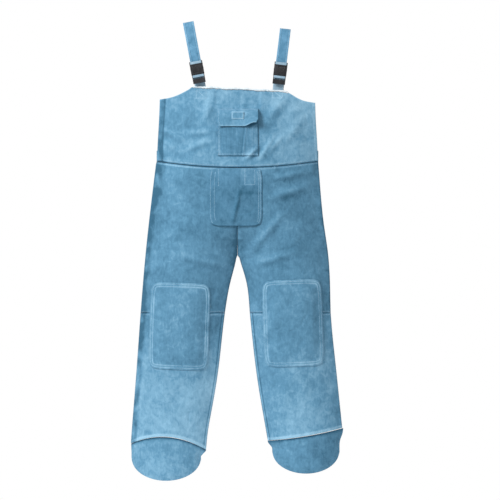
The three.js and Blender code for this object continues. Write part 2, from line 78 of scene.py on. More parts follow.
# ---- sizes, in metres ----
MM = 0.001
FRONT = Vector((0, -1, 0))
BACK = Vector((0, 1, 0))
WELD = 0.02 * MM
SEED_STEP = 17.31  # how far apart the noise of two seeds is read
CLEAR_OF_BODY = 300 * MM  # a ray starts this far out from the middle plane
SHARP = math.radians(62)  # a sheet's faces turn less than this; its rim turns more
CORNER = math.radians(48)  # a rim that turns more than this has a corner
FLAT = 1.2  # triangles that meet at up to this angle, in radians, are joined
LEATHER = 1.8 * MM
FINE = 4  # subdivision of a leather panel
STITCH_PITCH = 4.6 * MM
STITCH_LENGTH = 3.3 * MM
THREAD = 0.5 * MM  # radius
CLOSING = 0.92  # how much of the gap to the centre line a leg panel is drawn over
SEAM_DEPTH = 2.4 * MM
SEAM_WIDTH = 3.2 * MM
SEAM_SHADOW = 2.2 * MM  # width of the painted shadow line along a seam
SEAM_CREST = 5.5 * MM  # from the seam to the crest of the leather that turns into it, where the painted highlight lies
WEAR_WIDTH = 2.2 * MM  # how far the leather is rubbed beside stitches
PATH_STEP = 2 * MM  # between the points of a line that is dropped onto a sheet
EASE = 12 * MM  # over which a zone dies away
SLICES = 13  # level slices that measure how wide a sheet is
SLICE_HALF = 6 * MM
SLICE_STEPS = 40
SIDE_CALM = 25 * MM  # folds die out this near a side seam
CENTRE_SEAM = 8 * MM  # a rim this near the centre line is no side seam
HEM_FOLD = 12 * MM  # height of a hem that is turned up
HEM_STEP = 1.3 * MM  # how far it stands out
STRIP = 20 * MM  # width of the bib's side hem
YOKE = 62 * MM  # from the crotch patch's top to the end of its doubled part
SHADE_SHARE = 0.30  # how much a sheet's painted shade moves the level of its dye
SHADE_LIMIT = 1.5  # the painted shade goes no further than this from 0
RUMPLE_LIGHT_AND_SHADE = 130  # painted highlight and shade a metre of rumple height
SEAM_TONE = 90  # shade a metre of the seam under the crotch patch
STRAP_SEAM = 5.5 * MM  # stitches to the strap's edge
ELASTIC_THICK = 1.8 * MM
TAPE_THICK = 1 * MM
LABEL_THICK = 0.7 * MM
RIBS = 9  # on a buckle socket
SOCKET_SIDE = 4 * MM  # from a socket's side to the strap's edge
KEEPER = 9 * MM  # height of the strap keeper on top of a socket
MOULDED_EDGE = 0.7 * MM
FLAP_ROOM = 1.5 * MM  # the bib lies this much lower where the opened flap comes near it
PULL_LIGHT_AND_SHADE = 110  # painted highlight and shade a metre of pull height
PULL_STRENGTH = 1.5  # how much higher than listed the pulls stand
LIT_SHIFT = (-7 * MM, 0, 7 * MM)  # towards the light, by about a pull's half width

# ---- places, from the frame ----
SIDES = {"right": -1, "left": 1}  # the wearer's sides, and the sign of x
MARKED_LEG = "right"  # the leg with the stronger marks: a paler shin and foot cover, a darker outer strip and inseam under the crotch patch, and a brighter painted highlight on the waist seam
BIB_LOW, BIB_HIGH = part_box("bib_panel")
WAIST_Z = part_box("right_thigh_panel")[1].z
KNEE_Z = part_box("right_thigh_panel")[0].z
PATCH_LOW, PATCH_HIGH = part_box("crotch_patch")
POCKET_LOW, POCKET_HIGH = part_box("chest_pocket")
FLAP_LOW, FLAP_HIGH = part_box("chest_pocket_flap")
CROTCH_Z = PATCH_LOW.z - 105 * MM


# ---- small helpers ----
def smooth(value, low, high):
    """0 at low, 1 at high, easing between them."""
    t = np.clip((np.asarray(value, float) - low) / (high - low), 0, 1)
    return t * t * (3 - 2 * t)


def between(value, low, high):
    """1 from low to high, easing to 0 beyond."""
    return smooth(value, low - EASE, low) * (1 - smooth(value, high, high + EASE))


def ridge(distance, width):
    """1 on a line, dying away over a width on both sides."""
    return np.exp(-((distance / width) ** 2))


def cloud(points, size, seed):
    """Smooth noise about 0, one value a point, with lumps of about that size. size may differ by axis."""
    scaled = points / np.asarray(size, float) + seed * SEED_STEP
    return np.array([noise.noise(p) for p in scaled.tolist()])


def coordinates(mesh, kind="co"):
    """The mesh's points, or with kind "normal" its normals."""
    flat = np.empty(len(mesh.vertices) * 3)
    mesh.vertices.foreach_get(kind, flat)
    return flat.reshape(-1, 3)


def unit(vectors):
    length = np.linalg.norm(vectors, axis=1, keepdims=True)
    return vectors / np.maximum(length, 1e-12)


def distance_to(points, targets):
    """How far each point is from the nearest target."""
    tree = KDTree(len(targets))
    for index, target in enumerate(targets):
        tree.insert(target, index)
    tree.balance()
    return np.array([tree.find(p)[2] for p in points])


def joint_of(name):
    return next(joint for joint in frame["joints"] if joint["name"] == name)


def new_object(name, mesh, *materials):
    made = bpy.data.objects.new(name, mesh)
    bpy.context.scene.collection.objects.link(made)
    for material in materials:
        made.data.materials.append(material)
    return made


def mesh_of(bm, name):
    """Writes an edit mesh out and frees it."""
    mesh = bpy.data.meshes.new(name)
    bm.to_mesh(mesh)
    bm.free()
    return mesh


def shade_smooth(mesh):
    mesh.polygons.foreach_set("use_smooth", [True] * len(mesh.polygons))


def baked_mesh(obj):
    """The object's mesh with its modifiers applied; the object is removed."""
    depsgraph = bpy.context.evaluated_depsgraph_get()
    mesh = bpy.data.meshes.new_from_object(obj.evaluated_get(depsgraph))
    bpy.data.objects.remove(obj)
    return mesh


def store(mesh, name, values):
    """Writes one number or vector a vertex as an attribute that the materials read."""
    values = np.asarray(values, np.float32)
    kind, key = ("FLOAT_VECTOR", "vector") if values.ndim == 2 else ("FLOAT", "value")
    layer = mesh.attributes.new(name, kind, "POINT")
    layer.data.foreach_set(key, values.ravel())


# ---- materials ----
def linear(red, green, blue):
    """An sRGB colour, 0 to 255, as the linear one that shaders take."""
    def one(value):
        value /= 255
        return value / 12.92 if value <= 0.04045 else ((value + 0.055) / 1.055) ** 2.4

    return (one(red), one(green), one(blue), 1)


class Shader:
    """A material's node tree, with short calls for the nodes that the looks need."""

    def __init__(self, name):
        self.material = bpy.data.materials.new(name)
        self.material.use_nodes = True
        self.tree = self.material.node_tree
        self.surface = self.tree.nodes["Principled BSDF"]
        self.place = self.attribute("rest", "Vector")

    def node(self, kind, **settings):
        made = self.tree.nodes.new(kind)
        for key, value in settings.items():
            setattr(made, key, value)
        return made

    def link(self, source, target):
        if isinstance(source, (int, float, tuple)):
            target.default_value = source
        else:
            self.tree.links.new(source, target)

    def attribute(self, name, output="Fac"):
        return self.node("ShaderNodeAttribute", attribute_name=name).outputs[output]

    def stretched(self, scale):
        """The rest place, scaled by axis."""
        made = self.node("ShaderNodeVectorMath", operation="MULTIPLY")
        self.link(self.place, made.inputs[0])
        made.inputs[1].default_value = scale
        return made.outputs[0]

    def noise(self, scale, detail=3, rough=0.55, twist=0, place=None):
        made = self.node("ShaderNodeTexNoise")
        self.link(place or self.place, made.inputs["Vector"])
        made.inputs["Scale"].default_value = scale
        made.inputs["Detail"].default_value = detail
        made.inputs["Roughness"].default_value = rough
        made.inputs["Distortion"].default_value = twist
        return made.outputs["Fac"]

    def wave(self, scale, direction):
        made = self.node("ShaderNodeTexWave", bands_direction=direction)
        self.link(self.place, made.inputs["Vector"])
        made.inputs["Scale"].default_value = scale
        return made.outputs["Fac"]

    def math(self, operation, a, b):
        made = self.node("ShaderNodeMath", operation=operation)
        self.link(a, made.inputs[0])
        self.link(b, made.inputs[1])
        return made.outputs[0]

    def total(self, *parts):
        """The sum of (share, value) parts."""
        result = 0.0
        for share, value in parts:
            result = self.math("ADD", result, self.math("MULTIPLY", value, share))
        return result

    def ranged(self, value, low, high, to_low, to_high):
        made = self.node("ShaderNodeMapRange")
        self.link(value, made.inputs["Value"])
        for key, number in zip(("From Min", "From Max", "To Min", "To Max"), (low, high, to_low, to_high)):
            made.inputs[key].default_value = number
        return made.outputs["Result"]

    def ramp(self, value, *stops):
        """A colour ramp through (position, colour) stops."""
        made = self.node("ShaderNodeValToRGB")
        self.link(value, made.inputs["Fac"])
        elements = made.color_ramp.elements
        while len(elements) < len(stops):
            elements.new(0.5)
        for element, (position, colour) in zip(elements, stops):
            element.position = position
            element.color = colour
        return made.outputs["Color"]

    def bump(self, height, distance, strength, below=None):
        made = self.node("ShaderNodeBump")
        made.inputs["Strength"].default_value = strength
        made.inputs["Distance"].default_value = distance
        self.link(height, made.inputs["Height"])
        if below is not None:
            self.link(below, made.inputs["Normal"])
        return made.outputs["Normal"]

    def finish(self, colour, roughness, normal, sheen=0.0, specular=0.5):
        self.link(colour, self.surface.inputs["Base Color"])
        self.link(roughness, self.surface.inputs["Roughness"])
        self.link(normal, self.surface.inputs["Normal"])
        self.surface.inputs["Sheen Weight"].default_value = sheen
        self.surface.inputs["Sheen Roughness"].default_value = 0.45
        self.surface.inputs["Specular IOR Level"].default_value = specular
        return self.material


def suede(name, dark, middle, light):
    """Split leather: cloudy dye and a brushed nap, with a painted shade attribute that makes it paler where
    it is rubbed and darker where it is soiled, and that also carries painted shadows and highlights.
    """
    s = Shader(name)
    clouds = s.noise(6.5, 4, 0.6, 0.4)
    patches = s.noise(44, 5, 0.62, 0.8)
    streaks = s.noise(150, 3, 0.6, 0.3, s.stretched((1, 1, 0.35)))
    fibres = s.noise(900, 2, 0.5)
    dye = s.total((0.36, clouds), (0.34, patches), (0.18, streaks), (0.12, fibres))
    shade = s.attribute("shade")
    level = s.math("ADD", dye, s.math("MULTIPLY", shade, SHADE_SHARE))
    colour = s.ramp(level, (0.28, dark), (0.5, middle), (0.74, light))
    nap = s.total((0.5, fibres), (0.3, streaks), (0.2, s.noise(2400, 1, 0.5)))
    creases = s.noise(75, 4, 0.6, 1.2)
    normal = s.bump(creases, 1.2 * MM, 0.35)
    normal = s.bump(nap, 0.5 * MM, 0.55, normal)
    return s.finish(colour, s.ranged(patches, 0.3, 0.7, 0.96, 0.82), normal, sheen=0.22, specular=0.22)


def raw_edge(name, soiled, middle, clean):
    """The undyed fibre that shows where the leather is cut."""
    s = Shader(name)
    fibres = s.noise(700, 3, 0.6)
    soil = s.noise(60, 3, 0.6)
    colour = s.ramp(s.total((0.6, soil), (0.4, fibres)),
                    (0.3, soiled), (0.5, middle), (0.7, clean))
    return s.finish(colour, s.ranged(soil, 0.3, 0.7, 0.98, 0.85), s.bump(fibres, 0.6 * MM, 0.7), sheen=0.2,
                    specular=0.2)


def thread():
    s = Shader("sewing_thread")
    twist = s.wave(900, "DIAGONAL")
    dirt = s.noise(55, 3, 0.6)
    colour = s.ramp(s.total((0.75, dirt), (0.25, twist)),
                    (0.3, linear(132, 172, 196)), (0.52, linear(168, 202, 220)),
                    (0.75, linear(206, 226, 236)))
    return s.finish(colour, s.ranged(twist, 0, 1, 0.75, 0.55), s.bump(twist, 0.15 * MM, 0.6), sheen=0.15)


def woven_elastic():
    """Black elastic tape: ribs along it, a finer weave across it, grey where it has rubbed."""
    s = Shader("woven_elastic")
    ribs = s.wave(230, "X")
    weave = s.wave(420, "Z")
    lint = s.noise(400, 3, 0.7)
    rubbed = s.noise(25, 3, 0.6)
    colour = s.ramp(s.total((0.35, ribs), (0.25, weave), (0.2, lint), (0.2, rubbed)),
                    (0.25, linear(16, 17, 20)), (0.55, linear(34, 35, 40)), (0.85, linear(74, 76, 82)))
    height = s.total((0.6, ribs), (0.4, weave))
    return s.finish(colour, s.ranged(rubbed, 0.3, 0.7, 0.9, 0.7), s.bump(height, 0.4 * MM, 0.8), sheen=0.15)


def hook_and_loop():
    s = Shader("hook_and_loop")
    loops = s.noise(1300, 2, 0.7)
    lint = s.noise(90, 3, 0.6)
    colour = s.ramp(s.total((0.6, loops), (0.4, lint)),
                    (0.3, linear(14, 15, 18)), (0.55, linear(36, 38, 42)), (0.8, linear(88, 98, 106)))
    return s.finish(colour, s.ranged(lint, 0.3, 0.7, 0.95, 0.8), s.bump(loops, 0.8 * MM, 0.9), sheen=0.2)


def moulded_plastic():
    """Black moulded plastic: a fine spark-eroded grain, with scuffs that are paler and duller."""
    s = Shader("moulded_plastic")
    grain = s.noise(1500, 2, 0.6)
    scuffs = s.noise(70, 5, 0.7, 0.6, s.stretched((1, 1, 0.2)))
    colour = s.ramp(scuffs,
                    (0.45, linear(24, 24, 28)), (0.62, linear(34, 34, 39)), (0.75, linear(66, 66, 72)))
    roughness = s.ranged(scuffs, 0.35, 0.7, 0.34, 0.6)
    return s.finish(colour, roughness, s.bump(grain, 0.08 * MM, 0.5), specular=0.5)


DARK_BLUE = linear(54, 100, 126)
MID_BLUE = linear(92, 142, 172)
PALE_BLUE = linear(146, 190, 215)
SUEDE = suede("blue_suede", DARK_BLUE, MID_BLUE, PALE_BLUE)
PATCH_SUEDE = suede("patch_suede", linear(50, 98, 124), linear(86, 135, 165), linear(136, 180, 206))
STRAP_SUEDE = suede("strap_suede", linear(70, 120, 150), linear(106, 156, 188), linear(158, 198, 222))
# a paler copy of the strap leather for the rolls round the buckle bars and for the tabs, painted lighter
# where the folded leather catches the light
LIT_FOLD_SUEDE = suede("lit_folded_strap_suede",
                   linear(104, 134, 154), linear(144, 172, 190), linear(188, 206, 218))
RAW_EDGE = raw_edge("frayed_leather", linear(186, 206, 218), linear(222, 232, 237), linear(248, 250, 251))
CUT_EDGE = raw_edge("cut_leather_edge",
                    linear(92, 104, 112), linear(138, 146, 148), linear(184, 186, 182))
THREAD_COLOUR = thread()
ELASTIC = woven_elastic()
TAPE = hook_and_loop()
PLASTIC = moulded_plastic()


# ---- folds ----
def fold(points, start, end, height, width):
    """A soft ridge from start to end, given as (x, z), that dies away along and across."""
    flat = points[:, [0, 2]]
    a, b = np.array(start), np.array(end)
    along = np.clip(((flat - a) @ (b - a)) / ((b - a) @ (b - a)), 0, 1)
    gap = np.linalg.norm(flat - (a + along[:, None] * (b - a)), axis=1)
    return height * ridge(gap, width) * np.sin(math.pi * np.clip(along, 0.04, 0.96)) ** 0.6


def creases(points, size, depth, seed):
    """Narrow creases that wander over the leather, deepest where two soft waves cross."""
    along = np.abs(cloud(points, size, seed))
    deep = smooth(cloud(points, np.asarray(size) * 1.7, seed + 1), -0.1, 0.35)
    return -depth * (1 - smooth(along, 0, 0.10)) * deep


def front_folds(points):
    """How far the front leather stands out from its smooth shape."""
    x, z = points[:, 0], points[:, 2]
    calm = 0.2 + 0.8 * smooth(-z, -BIB_HIGH.z + 20 * MM, -BIB_HIGH.z + 90 * MM)
    swell = 4.2 * MM * cloud(points, (0.12, 1, 0.16), 1) + 1.9 * MM * cloud(points, (0.045, 1, 0.065), 2)
    rough = 0.5 * MM * cloud(points, 0.018, 3) + creases(points, (0.10, 1, 0.06), 0.9 * MM, 14)
    made = (swell + rough + pulls(points)) * calm
    opened = between(x, FLAP_LOW.x, FLAP_HIGH.x)
    opened *= between(z, FLAP_HIGH.z + 14 * MM, FLAP_HIGH.z + 60 * MM)
    return made * (1 - opened) - FLAP_ROOM * opened


def pulls(points):
    """The long soft ridges where the leather pulls at the straps, pocket, waist and crotch."""
    waist, half, top = WAIST_Z, BIB_HIGH.x, BIB_HIGH.z
    corner = POCKET_HIGH.x
    lines = [  # start and end as (x, z), height before PULL_STRENGTH, and width, both in mm
        ((corner, POCKET_LOW.z + 32 * MM), (corner - 46 * MM, waist + 4 * MM), 3.6, 8),
        ((corner + 52 * MM, POCKET_LOW.z + 62 * MM), (corner + 4 * MM, waist + 6 * MM), 3.0, 9),
        ((corner + 88 * MM, POCKET_LOW.z + 74 * MM), (corner + 22 * MM, waist + 14 * MM), 2.2, 10),
        ((half * 0.82, waist + 150 * MM), (half * 0.56, waist + 60 * MM), 2.4, 16),
        ((half * 0.62, top - 26 * MM), (half * 0.36, top - 120 * MM), 3.2, 17),
        ((-half * 0.30, top - 14 * MM), (-half * 0.42, top - 130 * MM), 3.0, 15),
        ((half * 0.10, top - 12 * MM), (half * 0.06, top - 76 * MM), 2.4, 12),
        ((-half * 0.96, waist + 120 * MM), (-half * 0.66, waist + 64 * MM), 3.0, 10),
        ((-half * 0.97, waist + 84 * MM), (-half * 0.72, waist + 22 * MM), 3.4, 9),
        ((-half * 0.66, waist + 96 * MM), (-half * 0.30, waist + 104 * MM), 2.2, 11),
        ((-half * 0.66, waist + 40 * MM), (-half * 0.34, waist + 70 * MM), 2.2, 11),
        ((-half * 0.9, waist - 30 * MM), (-half * 0.55, waist - 140 * MM), 2.6, 15),
        ((half * 0.9, waist - 34 * MM), (half * 0.42, waist - 62 * MM), 3.0, 13),
        ((half * 0.86, waist - 90 * MM), (half * 0.40, waist - 128 * MM), 3.0, 14),
        ((40 * MM, CROTCH_Z + 10 * MM), (160 * MM, waist - 180 * MM), 2.6, 14),
        ((-35 * MM, CROTCH_Z + 5 * MM), (-160 * MM, waist - 190 * MM), 2.6, 14),
        ((56 * MM, CROTCH_Z - 30 * MM), (200 * MM, CROTCH_Z + 14 * MM), 2.4, 12),
        ((-56 * MM, CROTCH_Z - 34 * MM), (-210 * MM, CROTCH_Z + 4 * MM), 2.4, 12),
    ]
    scale = PULL_STRENGTH * MM
    return sum(fold(points, start, end, scale * height, width * MM) for start, end, height, width in lines)


def fold_light_and_shade(points):
    """Paler on the side of a pull that faces the light at the upper left, darker on the other."""
    return PULL_LIGHT_AND_SHADE * (pulls(points) - pulls(points + LIT_SHIFT))


def back_folds(points):
    """The same for the back, where the seat hangs looser."""
    z = points[:, 2]
    calm = smooth(-z, -WAIST_Z + 5 * MM, -WAIST_Z + 80 * MM)
    swell = 4 * MM * cloud(points, (0.12, 1, 0.18), 5) + 1.6 * MM * cloud(points, (0.05, 1, 0.06), 6)
    made = swell + 0.5 * MM * cloud(points, 0.018, 7) + creases(points, (0.10, 1, 0.06), 0.9 * MM, 16)
    for side in SIDES.values():
        for row in range(4):
            high = CROTCH_Z + (20 - 34 * row) * MM
            start = (side * 30 * MM, high)
            end = (side * (190 + 12 * row) * MM, high + (60 - 26 * row) * MM)
            made += fold(points, start, end, 3.4 * MM, 12 * MM)
    return made * calm


def dimples(points, rim, reach):
    """Short puckers square to a seam, drawn by its stitching."""
    near = 1 - smooth(distance_to(points, rim), 2 * MM, reach)
    return 2.6 * MM * near * cloud(points, (0.08, 1, 0.016), 9)


# ---- sheets ----
class Sheet:
    """A fine open surface over one side of a CAD sheet, with its rim in order and a search tree."""

    def __init__(self, node, toward, levels=FINE, round_below=None):
        self.node = node
        self.toward = np.array(toward)
        self.mesh = self.refined(self.outer_side(toward), levels, round_below)
        self.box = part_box(node)
        self.find_rim()
        self.co = coordinates(self.mesh)
        self.rest = self.co.copy()
        self.area = sum(face.area for face in self.mesh.polygons)
        self.shade = np.zeros(len(self.co))
        self.pieces = []
        self.refresh()

    def outer_side(self, toward):
        """The faces of the CAD sheet on the side that looks toward a direction, joined into quads."""
        bm = bmesh.new()
        bm.from_mesh(frame["nodes"][self.node].data)
        bmesh.ops.remove_doubles(bm, verts=bm.verts, dist=WELD)
        bm.normal_update()
        seed = max(bm.faces, key=lambda face: face.normal.dot(toward) * face.calc_area())
        kept, stack = {seed}, [seed]
        while stack:
            face = stack.pop()
            for other in {f for edge in face.edges for f in edge.link_faces} - kept:
                if face.normal.angle(other.normal, math.pi) < SHARP:
                    kept.add(other)
                    stack.append(other)
        bmesh.ops.delete(bm, geom=[face for face in bm.faces if face not in kept], context="FACES")
        bmesh.ops.join_triangles(bm, faces=bm.faces, angle_face_threshold=FLAT, angle_shape_threshold=FLAT)
        return bm

    def refined(self, bm, levels, round_below):
        """The subdivided sheet. Its sharp corners are kept, but rounded below a height if one is given."""
        low = -math.inf if round_below is None else round_below
        kept = [self.is_corner(vert) if vert.co.z > low else 0.0 for vert in bm.verts]
        mesh = mesh_of(bm, self.node)
        store(mesh, "crease_vert", kept)
        rough = new_object("rough_" + self.node, mesh)
        modifier = rough.modifiers.new("fine", "SUBSURF")
        modifier.levels = levels
        modifier.render_levels = levels
        modifier.boundary_smooth = "PRESERVE_CORNERS" if round_below is None else "ALL"
        return baked_mesh(rough)

    @staticmethod
    def is_corner(vert):
        """1 where the rim turns sharply, else 0."""
        ends = [edge.other_vert(vert).co - vert.co for edge in vert.link_edges if edge.is_boundary]
        return float(len(ends) == 2 and math.pi - ends[0].angle(ends[1]) > CORNER)

    def find_rim(self):
        """The rim's vertices in order, and at each the way out of the sheet."""
        bm = bmesh.new()
        bm.from_mesh(self.mesh)
        edges = [edge for edge in bm.edges if edge.is_boundary]
        ways = {}
        for edge in edges:
            for vert in edge.verts:
                ways.setdefault(vert, []).append(edge)
        start = edges[0].verts[0]
        order, edge, vert = [], edges[0], start
        while True:
            order.append(vert.index)
            vert = edge.other_vert(vert)
            if vert is start:
                break
            edge = next(e for e in ways[vert] if e is not edge)
        verts = bm.verts[:]
        inner = [np.mean([f.calc_center_median() for f in verts[i].link_faces], axis=0) for i in order]
        bm.free()
        self.rim = np.array(order)
        self.rim_inside = np.array(inner)

    def refresh(self):
        """Writes the moved points to the mesh and works out what depends on them."""
        self.mesh.vertices.foreach_set("co", self.co.ravel())
        self.mesh.update()
        self.normals = coordinates(self.mesh, "normal")
        faces = [tuple(face.vertices) for face in self.mesh.polygons]
        self.tree = BVHTree.FromPolygons(self.co.tolist(), faces)
        points = self.co[self.rim]
        tangent = unit(np.roll(points, -1, axis=0) - np.roll(points, 1, axis=0))
        out = self.rest[self.rim] - self.rim_inside
        out -= tangent * np.sum(out * tangent, axis=1, keepdims=True)
        out = unit(out)
        self.out = unit(sum(np.roll(out, shift, axis=0) for shift in (-2, -1, 0, 1, 2)))

    def push(self, amount, direction):
        """Moves each point by its amount, along one direction or one for each point."""
        self.co += np.asarray(amount)[:, None] * np.array(direction)
        self.refresh()

    def run(self, way, share=0.75, where=None):
        """The longest stretch of rim that faces a way, as positions in the rim, among the points
        that where() lets through."""
        facing = self.out @ np.array(way, float) > share
        if where is not None:
            facing &= where(self.rest[self.rim])
        if facing.all():
            return np.arange(len(self.rim) + 1) % len(self.rim)
        first = int(np.argmin(facing))
        stretches, current = [], []
        for step in range(1, len(facing) + 1):
            index = (first + step) % len(facing)
            if facing[index]:
                current.append(index)
            elif current:
                stretches.append(current)
                current = []
        return np.array(max(stretches, key=len))

    def whole_rim(self):
        return np.arange(len(self.rim) + 1) % len(self.rim)

    def line(self, run, inset):
        """A line on the surface that keeps a distance from a run of the rim, with the normals under it."""
        wanted = self.co[self.rim[run]] - self.out[run] * inset
        points, normals = [], []
        for point in wanted.tolist():
            place, normal, _, _ = self.tree.find_nearest(point)
            points.append(place)
            normals.append(normal)
        return np.array(points), np.array(normals)

    def rim_distance(self, run=None):
        run = self.whole_rim() if run is None else run
        return distance_to(self.co, self.co[self.rim[run]])

    def paint(self, value, distance, width):
        """Lightens or darkens near a line, by how far each point is from it."""
        self.shade += value * ridge(distance, width)

    def strip_size(self):
        """Width and length of a narrow even strip, from its area and the length of its rim."""
        rim = self.rest[self.rim]
        half_rim = float(np.linalg.norm(rim - np.roll(rim, 1, axis=0), axis=1).sum()) / 2
        width = (half_rim - math.sqrt(max(half_rim**2 - 4 * self.area, 0))) / 2
        return width, self.area / width

    def girth(self):
        """The widest way round the sheet from one side to the other, over some level slices of it."""
        widest = 0.0
        for height in np.linspace(self.box[0].z, self.box[1].z, SLICES)[1:-1]:
            near = self.rest[np.abs(self.rest[:, 2] - height) < SLICE_HALF]
            if len(near) < 4:
                continue
            near = near[np.argsort(near[:, 0])]
            across = np.linspace(near[0, 0], near[-1, 0], SLICE_STEPS)
            depth = np.interp(across, near[:, 0], near[:, 1])
            widest = max(widest, float(np.hypot(np.diff(across), np.diff(depth)).sum()))
        return widest

    def build(self, material, slot, rim_material=None, thickness=LEATHER, name=None):
        """The sheet as a solid piece of leather or tape that stands for its CAD node."""
        store(self.mesh, "rest", self.rest)
        store(self.mesh, "shade", np.clip(self.shade, -SHADE_LIMIT, SHADE_LIMIT))
        rough = new_object("thin_" + self.node, self.mesh)
        solid = rough.modifiers.new("thickness", "SOLIDIFY")
        solid.thickness = thickness
        solid.offset = -1
        solid.use_even_offset = False
        solid.material_offset_rim = 1
        mesh = baked_mesh(rough)
        shade_smooth(mesh)
        self.piece = new_object(name or self.node + "_leather", mesh, material, rim_material or material)
        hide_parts(self.node)
        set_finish(self.piece, slot)


# ---- stitches and strips ----
def resampled(points, normals, pitch):
    """Points at even steps along a line, with normals and the line's direction."""
    steps = np.linalg.norm(np.diff(points, axis=0), axis=1)
    travel = np.concatenate([[0], np.cumsum(steps)])
    count = max(int(travel[-1] / pitch), 2)
    at = np.linspace(0, travel[-1], count)
    even = np.column_stack([np.interp(at, travel, points[:, k]) for k in range(3)])
    tops = unit(np.column_stack([np.interp(at, travel, normals[:, k]) for k in range(3)]))
    return even, tops, unit(np.gradient(even, axis=0))


GRAIN_SIDES = 6
GRAIN_RINGS = ((-0.5, 0.25), (-0.3, 0.9), (0.0, 1.0), (0.3, 0.9), (0.5, 0.25))


def stitch_mesh(name, lines, pitch=STITCH_PITCH, length=STITCH_LENGTH, radius=THREAD):
    """Every stitch of some seams, each a short plump dash of thread that dips in at its ends."""
    verts, faces = [], []
    for points, normals in lines:
        even, tops, along = resampled(points, normals, pitch)
        across = unit(np.cross(along, tops))
        for place, top, way, side in zip(even, tops, along, across):
            first = len(verts)
            for share, size in GRAIN_RINGS:
                middle = place + way * share * length + top * radius * (0.55 * size - 0.15)
                for corner in range(GRAIN_SIDES):
                    angle = 2 * math.pi * corner / GRAIN_SIDES
                    verts.append(middle + (side * math.cos(angle) + top * math.sin(angle)) * radius * size)
            rings = len(GRAIN_RINGS)
            for ring in range(rings - 1):
                for corner in range(GRAIN_SIDES):
                    a = first + ring * GRAIN_SIDES + corner
                    b = first + ring * GRAIN_SIDES + (corner + 1) % GRAIN_SIDES
                    faces.append((a, a + GRAIN_SIDES, b + GRAIN_SIDES, b))
            faces.append(tuple(first + corner for corner in range(GRAIN_SIDES)))
            last = first + (rings - 1) * GRAIN_SIDES
            faces.append(tuple(last + corner for corner in reversed(range(GRAIN_SIDES))))
    mesh = bpy.data.meshes.new(name)
    mesh.from_pydata([tuple(v) for v in verts], [], faces)
    mesh.update()
    store(mesh, "rest", np.array(verts))
    shade_smooth(mesh)
    return new_object(name, mesh, THREAD_COLOUR)


def sew(sheet, name, lines, wear=0.35, **sizes):
    """Stitches along lines on a sheet, with the leather rubbed paler beside them."""
    places = np.vstack([points for points, _ in lines])
    patchy = np.clip(0.6 + 1.7 * cloud(sheet.rest, 0.045, 81), 0, 1.6)
    sheet.paint(wear * patchy, distance_to(sheet.co, places), WEAR_WIDTH)
    sheet.pieces.append(stitch_mesh(name, lines, **sizes))


def section_strip(name, rails, material):
    """A solid strip through rails: each rail is a line of points, and the rails go round the section."""
    rails = np.array(rails)
    count, length, _ = rails.shape
    verts = [tuple(rails[r, i]) for i in range(length) for r in range(count)]
    faces = []
    for i in range(length - 1):
        for r in range(count):
            a, b = i * count + r, i * count + (r + 1) % count
            faces.append((a, b, b + count, a + count))
    faces.append(tuple(reversed(range(count))))
    faces.append(tuple((length - 1) * count + r for r in range(count)))
    mesh = bpy.data.meshes.new(name)
    mesh.from_pydata(verts, [], faces)
    bm = bmesh.new()
    bm.from_mesh(mesh)
    bmesh.ops.recalc_face_normals(bm, faces=bm.faces)
    bm.to_mesh(mesh)
    bm.free()
    store(mesh, "rest", np.array(verts))
    store(mesh, "shade", np.zeros(len(verts)))
    shade_smooth(mesh)
    return new_object(name, mesh, material)


# ---- how pieces move ----
def ride_on(body):
    return lambda piece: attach(piece, body)


def bend_between():
    """Makes a mover that bakes a piece's place into its mesh."""
    return lambda piece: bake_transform(piece)


def bend_at_knee():
    return bend_between()


def bend_at_cuff():
    return bend_between()


def bend_at_flap():
    return bend_between()


def declare(sheet, move, strip=False):
    """Moves a sheet and its trimmings with their bodies."""
    for piece in [sheet.piece, *sheet.pieces]:
        move(piece)
    for piece in sheet.pieces:
        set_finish(piece, sheet.piece["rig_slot"])
    if strip:
        width, length = sheet.strip_size()
    else:
        width = sheet.girth()
        length = max(sheet.box[1].z - sheet.box[0].z, sheet.area / width * 1.02)


# ---- body panels ----
LEFT, RIGHT, UP, DOWN = (-1, 0, 0), (1, 0, 0), (0, 0, 1), (0, 0, -1)


def seam(sheet, run, depth=SEAM_DEPTH, shade=-0.9, fold_light=0.0):
    """Turns the leather in along a run of its rim, where it is sewn to the next panel, with a painted
    shadow in the seam and a painted highlight on the crest beside it.
    """
    gap = sheet.rim_distance(run)
    sheet.push(depth * ridge(gap, SEAM_WIDTH), -sheet.toward)
    sheet.paint(shade, gap, SEAM_SHADOW)
    sheet.paint(fold_light, gap - SEAM_CREST, 2.6 * MM)


def panel(node, toward, folds):
    """A body panel with the folds that it shares with what is sewn on it; front panels also get painted
    highlights and shade on their pulls.
    """
    sheet = Sheet(node, toward)
    rim = sheet.co[sheet.rim]
    side_rim = rim[(np.abs(sheet.out[:, 0]) > 0.8) & (np.abs(rim[:, 0]) > CENTRE_SEAM)]
    calm = np.ones(len(sheet.co))
    if node != "bib_panel":
        calm = smooth(distance_to(sheet.co, side_rim), 0, SIDE_CALM)
    sheet.push(folds(sheet.rest) * calm, toward)
    if folds is front_folds:
        sheet.shade += fold_light_and_shade(sheet.rest) * calm
    return sheet


def close_centre(sheet, inseam):
    """Draws a leg panel's inner edge up to the body's centre line, from the waist to the crotch."""
    rim = sheet.co[sheet.rim[inseam]]
    order = np.argsort(rim[:, 2])
    edge_x = np.interp(sheet.co[:, 2], rim[order, 2], rim[order, 0])
    gap = np.abs(sheet.co[:, 0] - edge_x)
    above = smooth(sheet.co[:, 2], CROTCH_Z - 6 * MM, CROTCH_Z + 4 * MM)
    sheet.co[:, 0] -= edge_x * CLOSING * above * (1 - smooth(gap, 0, SIDE_CALM))
    sheet.refresh()


def outer_and_inner(side):
    """The ways out of a leg panel at its outer side and at its inseam."""
    return (RIGHT, LEFT) if SIDES[side] > 0 else (LEFT, RIGHT)


